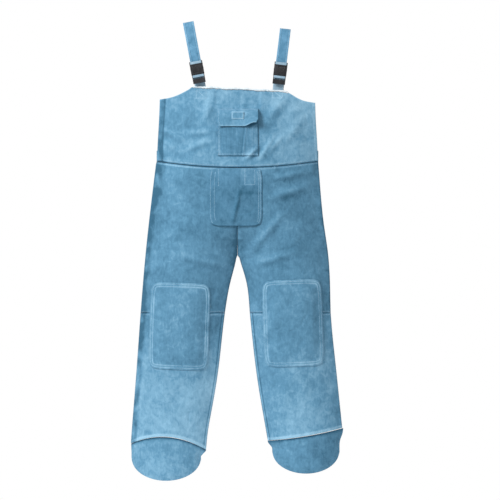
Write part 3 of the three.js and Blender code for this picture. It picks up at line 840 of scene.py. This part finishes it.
def bib():
    sheet = panel("bib_panel", FRONT, front_folds)
    top, bottom = sheet.run(UP, share=0.9), sheet.run(DOWN)
    wearer_right, wearer_left = sheet.run(LEFT, share=0.9), sheet.run(RIGHT, share=0.9)
    wave_top(sheet, top)
    seam(sheet, bottom)
    side_hem(sheet, wearer_right)
    tone_bib(sheet, wearer_left)
    sew(sheet, "bib_stitches", [sheet.line(wearer_left, 9 * MM), sheet.line(bottom, 7 * MM)], wear=0.2)
    sew(sheet, "tab_box_stitches", [box_line(sheet, side) for side in SIDES], wear=0.3)
    sheet.pieces.append(frayed_edge(sheet, top, "bib_frayed_edge", 7 * MM))
    sheet.build(SUEDE, "suede", CUT_EDGE)
    declare(sheet, ride_on("root"))


def wave_top(sheet, top):
    """The top edge was cut by hand, so it waves a little."""
    along = sheet.rest * (1, 0, 0)
    wavy = 2.2 * MM * cloud(along, 0.028, 11) + 1.2 * MM * cloud(along, 0.009, 12)
    sheet.push(wavy * ridge(sheet.rim_distance(top), 14 * MM), UP)


def side_hem(sheet, run):
    """The turned-in side on the wearer's right: a darker strip edged by a painted shadow line, and beside
    its lower end darker leather with rumples that get painted highlights on their crests and painted shade
    in their hollows.
    """
    near_hem = 1 - smooth(sheet.rim_distance(run), 12 * MM, 70 * MM)
    low = 1 - smooth(sheet.rest[:, 2], BIB_LOW.z + 90 * MM, BIB_LOW.z + 190 * MM)
    rumples = 5 * MM * cloud(sheet.rest, (0.016, 1, 0.05), 13) * near_hem * low
    sheet.push(rumples, FRONT)
    sheet.shade += RUMPLE_LIGHT_AND_SHADE * rumples - 0.3 * near_hem * low
    hem = sheet.rim_distance(run)
    sheet.push(1.1 * MM * (1 - smooth(hem, STRIP - 2 * MM, STRIP + 1 * MM)), FRONT)
    sheet.shade -= 0.45 * (1 - smooth(hem, STRIP - 2 * MM, STRIP + 2 * MM)) * smooth(hem, 1 * MM, 5 * MM)
    sheet.paint(-0.5, np.abs(hem - STRIP), 2 * MM)


def tone_bib(sheet, wearer_left):
    """Paler towards the top and the wearer's left, and along the armholes."""
    x, z = sheet.rest[:, 0], sheet.rest[:, 2]
    sheet.paint(0.35, sheet.rim_distance(wearer_left), 6 * MM)
    sheet.shade += 0.05 + 0.16 * smooth(z, BIB_LOW.z + 120 * MM, BIB_HIGH.z)
    sheet.shade += 0.2 * smooth(x, 60 * MM, 180 * MM)
    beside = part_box("right_strap_tab")[0].x - 6 * MM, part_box("left_strap_tab")[1].x + 6 * MM
    armholes = [
        sheet.run((-0.3, 0, 0.95), share=0.7, where=lambda rim: rim[:, 0] < beside[0]),
        sheet.run((0.3, 0, 0.95), share=0.7, where=lambda rim: rim[:, 0] > beside[1]),
    ]
    for run in armholes:
        sheet.paint(0.4, sheet.rim_distance(run), 2.5 * MM)


def box_line(sheet, side):
    """The stitched rectangle that holds a strap's tab behind the bib, with its diagonal cross."""
    low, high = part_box(f"{side}_strap_tab")
    inset = 4 * MM
    middle = (low.x + high.x) / 2 + SIDES[side] * -3 * MM
    half, top, bottom = 17 * MM, BIB_HIGH.z - 12 * MM, low.z + inset
    corners = [(middle - half, top), (middle + half, top), (middle + half, bottom), (middle - half, bottom)]
    path = corners + [corners[0], corners[2]]
    return projected(sheet, path)


def projected(sheet, path):
    """A line through (x, z) corners, dropped onto the sheet's face."""
    points, normals = [], []
    toward = Vector(sheet.toward)
    for (x0, z0), (x1, z1) in zip(path, path[1:]):
        count = max(int(math.hypot(x1 - x0, z1 - z0) / PATH_STEP), 2)
        for share in np.linspace(0, 1, count, endpoint=False):
            above = Vector((x0 + (x1 - x0) * share, 0, z0 + (z1 - z0) * share)) + toward * CLEAR_OF_BODY
            place, normal, _, _ = sheet.tree.ray_cast(above, -toward)
            if place is not None:
                points.append(place)
                normals.append(normal)
    return np.array(points), np.array(normals)


def frayed_edge(sheet, run, name, height):
    """The pale, uneven cut edge of the leather along a run of the rim."""
    rim = sheet.co[sheet.rim[run]]
    out = sheet.out[run]
    ragged = height * (0.95 + 0.35 * cloud(rim, 0.008, 21) + 0.4 * cloud(rim, 0.03, 22))[:, None]
    front = rim + np.array(sheet.toward) * 0.9 * MM
    back = rim - np.array(sheet.toward) * (LEATHER + 0.4 * MM)
    rails = [
        front - out * ragged * 0.75, front + out * ragged * 0.35,
        back + out * ragged * 0.3, back - out * 2 * MM,
    ]
    return section_strip(name, rails, RAW_EDGE)


def outer_strip(sheet, side, outseam, width, soft):
    """The darker, uneven strip of leather along the outer side of a leg, stronger on one leg."""
    strength = 0.6 if side == MARKED_LEG else 0.15
    gap = sheet.rim_distance(outseam)
    ragged = np.clip(0.9 + 1.5 * cloud(sheet.rest, (0.018, 1, 0.03), 15), 0, 1.6)
    sheet.shade -= strength * ragged * (1 - smooth(gap / width, *soft))


def tone_inseam(sheet, side, inseam):
    """The painted shadow between the legs, and the seam under the crotch patch that leans to the wearer's
    right: painted shade in its valley on one leg, paler on the other.
    """
    gap, z = sheet.rim_distance(inseam), sheet.rest[:, 2]
    between_legs = (z < CROTCH_Z + 60 * MM) * smooth(z, CROTCH_Z - 160 * MM, CROTCH_Z)
    sheet.shade -= 0.55 * ridge(gap, 22 * MM) * between_legs
    under_patch = between(z, CROTCH_Z - 30 * MM, PATCH_LOW.z)
    sheet.shade += (-0.5 if side == MARKED_LEG else 0.3) * ridge(gap, 13 * MM) * under_patch


def thigh(side):
    sheet = panel(f"{side}_thigh_panel", FRONT, front_folds)
    outer, inner = outer_and_inner(side)
    outseam, inseam = sheet.run(outer), sheet.run(inner)
    close_centre(sheet, inseam)
    seam(sheet, sheet.run(UP), shade=-0.7, fold_light=0.6 if side == MARKED_LEG else 0.25)
    seam(sheet, sheet.run(DOWN), depth=1.2 * MM, shade=-0.35)
    seam(sheet, inseam, depth=1.6 * MM, shade=-0.8)
    sheet.push(dimples(sheet.co, sheet.co[sheet.rim[outseam]], 34 * MM), FRONT)
    width = 26 * MM + 22 * MM * smooth(sheet.rest[:, 2], CROTCH_Z, WAIST_Z)  # wider at the hip
    outer_strip(sheet, side, outseam, width, (0.25, 1.15))
    # painted shade along the outer seam
    sheet.paint(-0.4, sheet.rim_distance(outseam), 3 * MM)
    tone_inseam(sheet, side, inseam)
    sheet.shade -= 0.18
    lines = [sheet.line(sheet.run(UP), 5.5 * MM), sheet.line(sheet.run(DOWN), 6 * MM)]
    sew(sheet, f"{side}_thigh_stitches", lines, wear=0.15)
    sheet.build(SUEDE, "suede", CUT_EDGE)
    declare(sheet, bend_at_knee())


def turn_up_hem(sheet, hem, light):
    """A hem: the leather turned up, so it stands out and is paler along the turn."""
    gap = sheet.rim_distance(hem)
    sheet.push(HEM_STEP * (1 - smooth(gap, HEM_FOLD - 2.5 * MM, HEM_FOLD)), sheet.toward)
    sheet.shade += light * (1 - smooth(gap, HEM_FOLD - 4 * MM, HEM_FOLD))


def shin(side):
    sheet = panel(f"{side}_shin_panel", FRONT, front_folds)
    outer, inner = outer_and_inner(side)
    seam(sheet, sheet.run(UP), depth=1.2 * MM, shade=-0.3, fold_light=0.2)
    outseam, inseam, hem = sheet.run(outer), sheet.run(inner), sheet.run(DOWN, share=0.6)
    seam(sheet, inseam, depth=1.4 * MM, shade=-0.9)
    sheet.push(dimples(sheet.co, sheet.co[sheet.rim[outseam]], 30 * MM), FRONT)
    turn_up_hem(sheet, hem, 0.5)
    below = 1 - smooth(sheet.rest[:, 2], KNEE_Z - 270 * MM, KNEE_Z - 20 * MM)
    sheet.shade += (0.42 * below - 0.10) if side == MARKED_LEG else (0.22 * below - 0.08)
    from_inseam = sheet.rim_distance(inseam)
    sheet.paint(0.3, from_inseam - 4 * MM, 5 * MM)
    sheet.paint(-0.9, from_inseam - 11 * MM, 2 * MM)
    outer_strip(sheet, side, outseam, 28 * MM, (12 / 28, 1))
    lines = [sheet.line(sheet.run(UP), 6 * MM), sheet.line(hem, 8 * MM)]
    sew(sheet, f"{side}_shin_stitches", lines, wear=0.2)
    sheet.build(SUEDE, "suede", CUT_EDGE)
    declare(sheet, bend_at_knee())


def back_panel(side, part):
    """A seat or calf panel."""
    sheet = panel(f"{side}_{part}_panel", BACK, back_folds)
    outer, inner = outer_and_inner(side)
    outseam, inseam = sheet.run(outer), sheet.run(inner)
    top, bottom = sheet.run(UP), sheet.run(DOWN, share=0.6)
    seam(sheet, top, shade=-0.7)
    seam(sheet, inseam, depth=1.6 * MM)
    lines = [sheet.line(top, 6 * MM), sheet.line(inseam, 6 * MM), sheet.line(outseam, 5 * MM)]
    if part == "seat":
        close_centre(sheet, inseam)
        seam(sheet, bottom, depth=1.2 * MM, shade=-0.35)
        lines.append(sheet.line(bottom, 6 * MM))
    else:
        turn_up_hem(sheet, bottom, 0.4)
        lines.append(sheet.line(bottom, 8 * MM))
    sheet.push(dimples(sheet.co, sheet.co[sheet.rim[outseam]], 34 * MM), BACK)
    sheet.shade -= 0.08
    sew(sheet, f"{side}_{part}_stitches", lines)
    sheet.build(SUEDE, "suede", CUT_EDGE)
    declare(sheet, bend_at_knee())


def waistband():
    sheet = Sheet("back_waistband", BACK, levels=3)
    top, bottom = sheet.run(UP), sheet.run(DOWN)
    sheet.push(0.7 * MM * cloud(sheet.rest, (0.06, 1, 0.02), 31), BACK)
    lines = [sheet.line(top, 5 * MM), sheet.line(bottom, 5 * MM)]
    sew(sheet, "waistband_stitches", lines)
    sheet.build(SUEDE, "suede", RAW_EDGE, thickness=2.4 * MM)
    declare(sheet, ride_on("root"))


# ---- patches ----
def patch(node, insets, puff, borders, round_below=math.inf):
    """A patch sewn flat round its edge, its middle a little proud of the panel, with painted highlights and
    shade on its pulls.
    """
    sheet = Sheet(node, FRONT, round_below=round_below)
    gap = sheet.rim_distance()
    proud = puff * smooth(gap, max(insets), max(insets) + 30 * MM)
    pucker = 0.5 * MM * cloud(sheet.rest, 0.012, 41) * ridge(gap - max(insets), 12 * MM)
    sheet.push(front_folds(sheet.rest) + proud + pucker, FRONT)
    sheet.push(0.9 * MM * ridge(gap, 3 * MM), BACK)
    sheet.shade += borders * (1 - smooth(gap, max(insets), max(insets) + 7 * MM)) - 0.10
    sheet.shade += fold_light_and_shade(sheet.rest)
    return sheet


def knee_patch(side):
    insets = (6 * MM, 14 * MM)
    sheet = patch(f"{side}_knee_patch", insets, 3 * MM, 0.10)
    sheet.paint(0.2, sheet.rim_distance(), 2 * MM)
    lines = [sheet.line(sheet.whole_rim(), inset) for inset in insets]
    sew(sheet, f"{side}_knee_patch_stitches", lines, wear=0.45)
    sheet.build(SUEDE, "patch_suede", CUT_EDGE)
    declare(sheet, bend_at_knee())


def crotch_patch():
    sheet = patch("crotch_patch", (5 * MM,), 1.2 * MM, 0.04, round_below=PATCH_HIGH.z - 50 * MM)
    x, z = sheet.rest[:, 0], sheet.rest[:, 2]
    yoke = PATCH_HIGH.z - YOKE
    start, end = (9 * MM, yoke - 13 * MM), (-16 * MM, PATCH_LOW.z + 6 * MM)
    seam_under = fold(sheet.rest, start, end, 4.5 * MM, 7 * MM)
    sheet.push(seam_under, FRONT)
    sheet.shade -= SEAM_TONE * seam_under
    sheet.shade += 0.10 * smooth(z, yoke - 26 * MM, yoke) - 0.16
    sheet.shade += 0.28 * smooth(z, yoke, yoke + 4 * MM) * smooth(x, 8 * MM, 14 * MM)
    sheet.shade -= 0.3 * smooth(x, 2 * MM, 12 * MM) * ridge(z - yoke + 25 * MM, 6 * MM)
    # painted shadow under the lifted bottom edge
    sheet.paint(-1.1, sheet.rim_distance(sheet.run(DOWN)), 1.8 * MM)
    sew(sheet, "crotch_patch_stitches", crotch_lines(sheet, yoke), wear=0.3)
    sheet.build(PATCH_SUEDE, "patch_suede", CUT_EDGE)
    declare(sheet, ride_on("root"))


def crotch_lines(sheet, yoke):
    """Two lines down each side, one down to the yoke, and a box at the wearer's left."""
    lines = [sheet.line(sheet.run(LEFT), inset) for inset in (6 * MM, 20 * MM)]
    lines += [sheet.line(sheet.run(RIGHT), inset) for inset in (5 * MM, 12 * MM)]
    single = PATCH_LOW.x + 34 * MM
    left, right = PATCH_HIGH.x - 60 * MM, PATCH_HIGH.x - 26 * MM
    top, bottom = PATCH_HIGH.z - 6 * MM, yoke + 4 * MM
    lines.append(projected(sheet, [(single, top + 2 * MM), (single, yoke)]))
    lines.append(projected(sheet, [(left, top), (left, bottom), (right, bottom), (right, top)]))
    return lines


def pocket():
    sheet = Sheet("chest_pocket", FRONT)
    points = sheet.rest
    gap = sheet.rim_distance(np.concatenate([sheet.run(way) for way in (LEFT, DOWN, RIGHT)]))
    streaks = 0.5 * MM * cloud(points, (0.007, 1, 0.05), 51) * smooth(gap, 0, 20 * MM)
    sheet.push(front_folds(points) + streaks, FRONT)
    lean = points[:, 0] - (POCKET_HIGH.x - 36 * MM) - 0.12 * (points[:, 2] - POCKET_HIGH.z)
    sheet.push(1.4 * MM * ridge(lean, 4 * MM), FRONT)  # a pleat that leans
    # painted shade beside the leaning pleat and a painted highlight on its crest; the pulls get painted
    # light and shade too
    sheet.paint(-0.25, np.abs(lean + 6 * MM), 4 * MM)
    sheet.paint(0.3, lean, 3 * MM)
    sheet.shade += 0.18 * smooth(lean, 0, 6 * MM) - 0.04 + fold_light_and_shade(points)
    sheet.shade += 0.22 * cloud(points, (0.005, 1, 0.06), 52)
    start = (POCKET_HIGH.x - 42 * MM, FLAP_LOW.z + 1 * MM)
    end = (POCKET_HIGH.x - 2 * MM, FLAP_LOW.z + 15 * MM)
    sheet.shade -= 2.2 * fold(points, start, end, 1, 5 * MM)  # painted shadow in the gap under the flap's lifted corner
    # painted shadow along the right edge
    sheet.paint(-0.9, sheet.rim_distance(sheet.run(RIGHT)), 2.2 * MM)
    sewn = (LEFT, 4 * MM), (LEFT, 9 * MM), (DOWN, 5 * MM), (UP, 8 * MM)
    lines = [sheet.line(sheet.run(way), inset) for way, inset in sewn]
    sew(sheet, "chest_pocket_stitches", lines, wear=0.35)
    sheet.build(PATCH_SUEDE, "patch_suede", CUT_EDGE)
    declare(sheet, ride_on("root"))


def flap():
    sheet = Sheet("chest_pocket_flap", FRONT)
    across = sheet.rest[:, 0] - (FLAP_LOW.x + FLAP_HIGH.x) / 2
    down = (FLAP_HIGH.z - sheet.rest[:, 2]) / (FLAP_HIGH.z - FLAP_LOW.z)
    curled = smooth(across, 22 * MM, 58 * MM) * smooth(down, 0.45, 1)
    sheet.push(13 * MM * curled, UP)
    sheet.push(front_folds(sheet.rest) + 1.5 * MM * curled + 0.6 * MM * cloud(sheet.rest, 0.02, 55), FRONT)
    left, free, right = sheet.run(LEFT), sheet.run(DOWN, share=0.6), sheet.run(RIGHT)
    sheet.paint(0.4, sheet.rim_distance(free), 4 * MM)
    # painted shadow along the right edge
    sheet.paint(-0.9, sheet.rim_distance(right), 1.8 * MM)
    sheet.shade += 0.08
    lines = [sheet.line(left, 6 * MM), sheet.line(sheet.run(BACK, share=0.6), 4 * MM)]
    sew(sheet, "chest_flap_stitches", lines, wear=0.3)
    sheet.build(SUEDE, "suede", CUT_EDGE)
    declare(sheet, bend_at_flap())


def elastic(node, body):
    sheet = Sheet(node, BACK)
    sheet.build(ELASTIC, "black_elastic", thickness=ELASTIC_THICK, name=node + "_piece")
    declare(sheet, ride_on(body), strip=True)


def tape(node, body):
    """Hook or loop tape, which follows the leather that it is sewn on."""
    sheet = Sheet(node, FRONT)
    sheet.push(front_folds(sheet.rest), FRONT)
    sheet.build(TAPE, "hook_and_loop", thickness=TAPE_THICK, name=node + "_piece")
    declare(sheet, ride_on(body), strip=True)


def label():
    """The blank label on the flap, with small stitches round it."""
    sheet = Sheet("flap_label", FRONT)
    sheet.push(front_folds(sheet.rest), FRONT)
    sheet.paint(0.9, sheet.rim_distance(), 3 * MM)
    line = sheet.line(sheet.whole_rim(), 2 * MM)
    sew(sheet, "flap_label_stitches", [line], wear=0.7, pitch=3.4 * MM, length=2.5 * MM, radius=0.4 * MM)
    sheet.build(SUEDE, "label", thickness=LABEL_THICK, name="flap_label_piece")
    declare(sheet, ride_on("chest_flap"), strip=True)


# ---- foot covers ----
def foot_cover(side):
    sheet = Sheet(f"{side}_foot_cover", FRONT)
    points = sheet.rest
    top = sheet.run(UP, share=0.6)
    free = np.array([i for i in range(len(sheet.rim)) if i not in set(top.tolist())])
    from_free = sheet.rim_distance(free)
    from_top = sheet.rim_distance(top)
    folds = front_folds(points) * smooth(from_free, 0, SIDE_CALM)
    sheet.push(folds + 0.8 * MM * cloud(points, (0.05, 1, 0.03), 61), FRONT)
    sheet.push(5 * MM * ridge(from_free, 11 * MM) * smooth(from_top, 0, 40 * MM), BACK)
    sheet.push(3.4 * MM * ridge(from_top, 7 * MM), BACK)
    # painted shadow where the trouser hem overlaps the top of the cover
    sheet.paint(-1.0, from_top, 7 * MM)
    sheet.shade += 0.10 if side == MARKED_LEG else -0.26
    sheet.build(SUEDE, "suede", CUT_EDGE)
    declare(sheet, bend_at_cuff())


# ---- straps ----
def strap(side):
    sheet = Sheet(f"{side}_shoulder_strap", FRONT)
    gap = sheet.rim_distance()
    uneven = 0.5 * MM * cloud(sheet.rest, (0.02, 0.02, 0.03), 71)
    sheet.push(uneven, sheet.normals)
    groove = 0.5 * MM * ridge(gap - STRAP_SEAM, 1.5 * MM)
    sheet.push(-groove, sheet.normals)
    sheet.shade += np.where(gap < STRAP_SEAM + 1 * MM, 0.20, 0.0) - 0.35
    sheet.paint(0.3, gap, 1.5 * MM)
    # painted shade in the groove just inside the stitches
    sheet.paint(-0.5, gap - STRAP_SEAM - 1 * MM, 1.2 * MM)
    sew(sheet, f"{side}_strap_stitches", [sheet.line(sheet.whole_rim(), STRAP_SEAM)])
    sheet.build(STRAP_SUEDE, "strap_suede", thickness=2.8 * MM)
    declare(sheet, ride_on("root"), strip=True)


def strap_tab(side):
    sheet = Sheet(f"{side}_strap_tab", FRONT)
    sheet.paint(0.3, sheet.rim_distance(), 2 * MM)
    sew(sheet, f"{side}_tab_stitches", [sheet.line(sheet.whole_rim(), 4 * MM)])
    sheet.build(LIT_FOLD_SUEDE, "strap_suede", thickness=2.4 * MM)
    declare(sheet, ride_on("root"), strip=True)


# ---- buckles ----
class Buckle:
    """One buckle's own frame: across the strap, to the back, and up along it, with its nodes' extents."""

    def __init__(self, side):
        self.side = side
        self.up = Vector(joint_of(f"{side}_buckle_release")["axis"]).normalized()
        self.back = (BACK - self.up * self.up.dot(BACK)).normalized()
        self.across = self.back.cross(self.up)
        self.turn = Matrix((self.across, self.back, self.up)).transposed()
        self.middle = Vector(np.mean(coordinates(frame["nodes"][f"{side}_buckle_insert"].data), axis=0))

    def extent(self, node):
        """A node's lowest and highest corner in this frame."""
        points = coordinates(frame["nodes"][f"{self.side}_{node}"].data)
        local = (points - np.array(self.middle)) @ np.array(self.turn)
        return Vector(local.min(0)), Vector(local.max(0))

    def place(self, point):
        return self.middle + self.turn @ Vector(point)


def bevelled_box(low, high, radius, segments, buckle):
    """A box with rounded edges in a buckle's frame."""
    bm = bmesh.new()
    bmesh.ops.create_cube(bm, size=1)
    size, centre = Vector(high) - Vector(low), (Vector(high) + Vector(low)) / 2
    for vert in bm.verts:
        vert.co = Vector(a * b for a, b in zip(vert.co, size)) + centre
    bmesh.ops.bevel(bm, geom=bm.edges[:], offset=radius, segments=segments, profile=0.5, affect="EDGES")
    for vert in bm.verts:
        vert.co = buckle.place(vert.co)
    bmesh.ops.recalc_face_normals(bm, faces=bm.faces)
    return mesh_of(bm, "box")


def joined(name, meshes, material):
    """Several meshes as one piece."""
    bm = bmesh.new()
    for mesh in meshes:
        bm.from_mesh(mesh)
        bpy.data.meshes.remove(mesh)
    made = mesh_of(bm, name)
    store(made, "rest", coordinates(made))
    store(made, "shade", np.zeros(len(made.vertices)))
    shade_smooth(made)
    return new_object(name, made, material)


def fold_band(name, buckle, low, high, body):
    """Strap leather folded round a bar of the buckle: a plump roll, painted paler where it catches the
    light.
    """
    mesh = bevelled_box(low, high, 1.9 * MM, 5, buckle)
    piece = joined(name, [mesh], LIT_FOLD_SUEDE)
    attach(piece, body)
    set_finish(piece, "strap_suede")


def socket_ribs(buckle, low, high, half, centre, top):
    """Upright ribs on the socket's face, between a lip above and a lip below."""
    made = []
    for index in range(RIBS):
        x = centre + (index / (RIBS - 1) - 0.5) * 2 * half
        corner = (x - 0.95 * MM, low.y - 0.9 * MM, low.z + 7 * MM)
        opposite = (x + 0.95 * MM, low.y + 0.5 * MM, top - 6 * MM)
        made.append(bevelled_box(corner, opposite, 0.6 * MM, 3, buckle))
    for z in (low.z + 3 * MM, top - 3 * MM):
        corner = (low.x + 1.5 * MM, low.y - 1.1 * MM, z - 1.4 * MM)
        opposite = (high.x - 1.5 * MM, low.y + 0.5 * MM, z + 1.4 * MM)
        made.append(bevelled_box(corner, opposite, 0.9 * MM, 3, buckle))
    return made


def buckle_details(side):
    buckle = Buckle(side)
    low, high = buckle.extent("buckle_socket")
    insert_low, insert_high = buckle.extent("buckle_insert")
    strap_half = (high.x - low.x) / 2 - SOCKET_SIDE
    centre = (high.x + low.x) / 2
    top = high.z - KEEPER  # of the socket's body
    ribs = socket_ribs(buckle, low, high, strap_half - 5 * MM, centre, top)
    piece = joined(f"{side}_socket_ribs", ribs, PLASTIC)
    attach(piece, f"{side}_socket")
    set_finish(piece, "black_plastic")
    left, right = centre - strap_half - 1 * MM, centre + strap_half + 1 * MM
    fold_band(
        f"{side}_strap_fold", buckle, (left, low.y - 1.2 * MM, top - 1 * MM),
        (right, low.y + 5.2 * MM, top + 8.6 * MM), f"{side}_socket",
    )
    fold_band(
        f"{side}_tab_fold", buckle, (left, insert_low.y - 1.7 * MM, low.z - 10.4 * MM),
        (right, insert_high.y + 2.4 * MM, low.z - 1.6 * MM), "root",
    )


def finish_plastic():
    for side in SIDES:
        for part in ("buckle_socket", "buckle_insert", "buckle_outer_prong", "buckle_inner_prong"):
            node = frame["nodes"][f"{side}_{part}"]
            node.data.materials.clear()
            node.data.materials.append(PLASTIC)
            store(node.data, "rest", coordinates(node.data))
            bevel = node.modifiers.new("moulded_edges", "BEVEL")
            bevel.width = MOULDED_EDGE
            bevel.segments = 3
            bevel.limit_method = "ANGLE"
            bevel.angle_limit = math.radians(35)


# ---- room ----
VIEW_WIDTH = 1.75  # what the camera takes in at the apron
VIEW_MIDDLE = Vector((0.044, -0.04, -0.791))
LENS = 200
SENSOR = 36
FLOOR_RADIUS = 1.1
FLOOR_DROP = 170 * MM  # the apron hangs this far above the floor


def camera():
    data = bpy.data.cameras.new("camera")
    data.lens = LENS
    data.sensor_width = SENSOR
    data.clip_end = 100
    made = new_object("camera", data)
    made.location = VIEW_MIDDLE + FRONT * VIEW_WIDTH * LENS / SENSOR
    made.rotation_euler = (math.pi / 2, 0, 0)
    bpy.context.scene.camera = made


def area_light(name, location, size, power):
    """A soft lamp that looks at the apron's middle."""
    data = bpy.data.lights.new(name, "AREA")
    data.energy = power
    data.size = size
    made = new_object(name, data)
    made.location = location
    made.rotation_mode = "QUATERNION"
    made.rotation_quaternion = (VIEW_MIDDLE - Vector(location)).to_track_quat("-Z", "Y")


def room_light():
    """An even room: pure white where the camera sees it, dimmer and a little blue as a light."""
    world = bpy.data.worlds.new("room")
    world.use_nodes = True
    tree = world.node_tree
    seen = tree.nodes["Background"]
    seen.inputs["Color"].default_value = (1, 1, 1, 1)
    seen.inputs["Strength"].default_value = 1.0
    fill = tree.nodes.new("ShaderNodeBackground")
    fill.inputs["Color"].default_value = (0.96, 0.98, 1, 1)
    fill.inputs["Strength"].default_value = 0.50
    path = tree.nodes.new("ShaderNodeLightPath")
    choose = tree.nodes.new("ShaderNodeMixShader")
    tree.links.new(path.outputs["Is Camera Ray"], choose.inputs["Fac"])
    tree.links.new(fill.outputs[0], choose.inputs[1])
    tree.links.new(seen.outputs[0], choose.inputs[2])
    tree.links.new(choose.outputs[0], tree.nodes["World Output"].inputs["Surface"])
    return world


def studio():
    """A pale floor, a white room and soft lamps from the upper left, the right and behind."""
    scene = bpy.context.scene
    scene.view_settings.view_transform = "Standard"
    scene.world = room_light()
    area_light("key_lamp", (-2.6, -2.6, 1.6), 1.4, 170)
    area_light("fill_lamp", (3.0, -3.2, 0.2), 2.4, 16)
    area_light("rear_lamp", (1.8, 3.4, 1.2), 2.2, 60)
    bm = bmesh.new()
    bmesh.ops.create_circle(bm, cap_ends=True, segments=96, radius=FLOOR_RADIUS)
    floor = new_object("floor", mesh_of(bm, "floor"), floor_paint())
    floor.location = (0, 0, CAD_BOX[0][2] - FLOOR_DROP)


def floor_paint():
    material = bpy.data.materials.new("floor_paint")
    material.use_nodes = True
    surface = material.node_tree.nodes["Principled BSDF"]
    surface.inputs["Base Color"].default_value = (0.93, 0.93, 0.93, 1)
    surface.inputs["Roughness"].default_value = 0.9
    surface.inputs["Emission Color"].default_value = (1, 1, 1, 1)
    surface.inputs["Emission Strength"].default_value = 0.3
    return material


# ---- the apron ----
camera()
studio()
bib()
waistband()
for wearer_side in SIDES:
    thigh(wearer_side)
    shin(wearer_side)
    back_panel(wearer_side, "seat")
    back_panel(wearer_side, "calf")
    knee_patch(wearer_side)
    foot_cover(wearer_side)
    strap(wearer_side)
    strap_tab(wearer_side)
    buckle_details(wearer_side)
    elastic(f"{wearer_side}_strap_elastic", "root")
    elastic(f"{wearer_side}_sole_strap", f"{wearer_side}_foot_guard")
crotch_patch()
pocket()
flap()
tape("pocket_loop_tape", "root")
tape("flap_hook_tape", "chest_flap")
label()
finish_plastic()
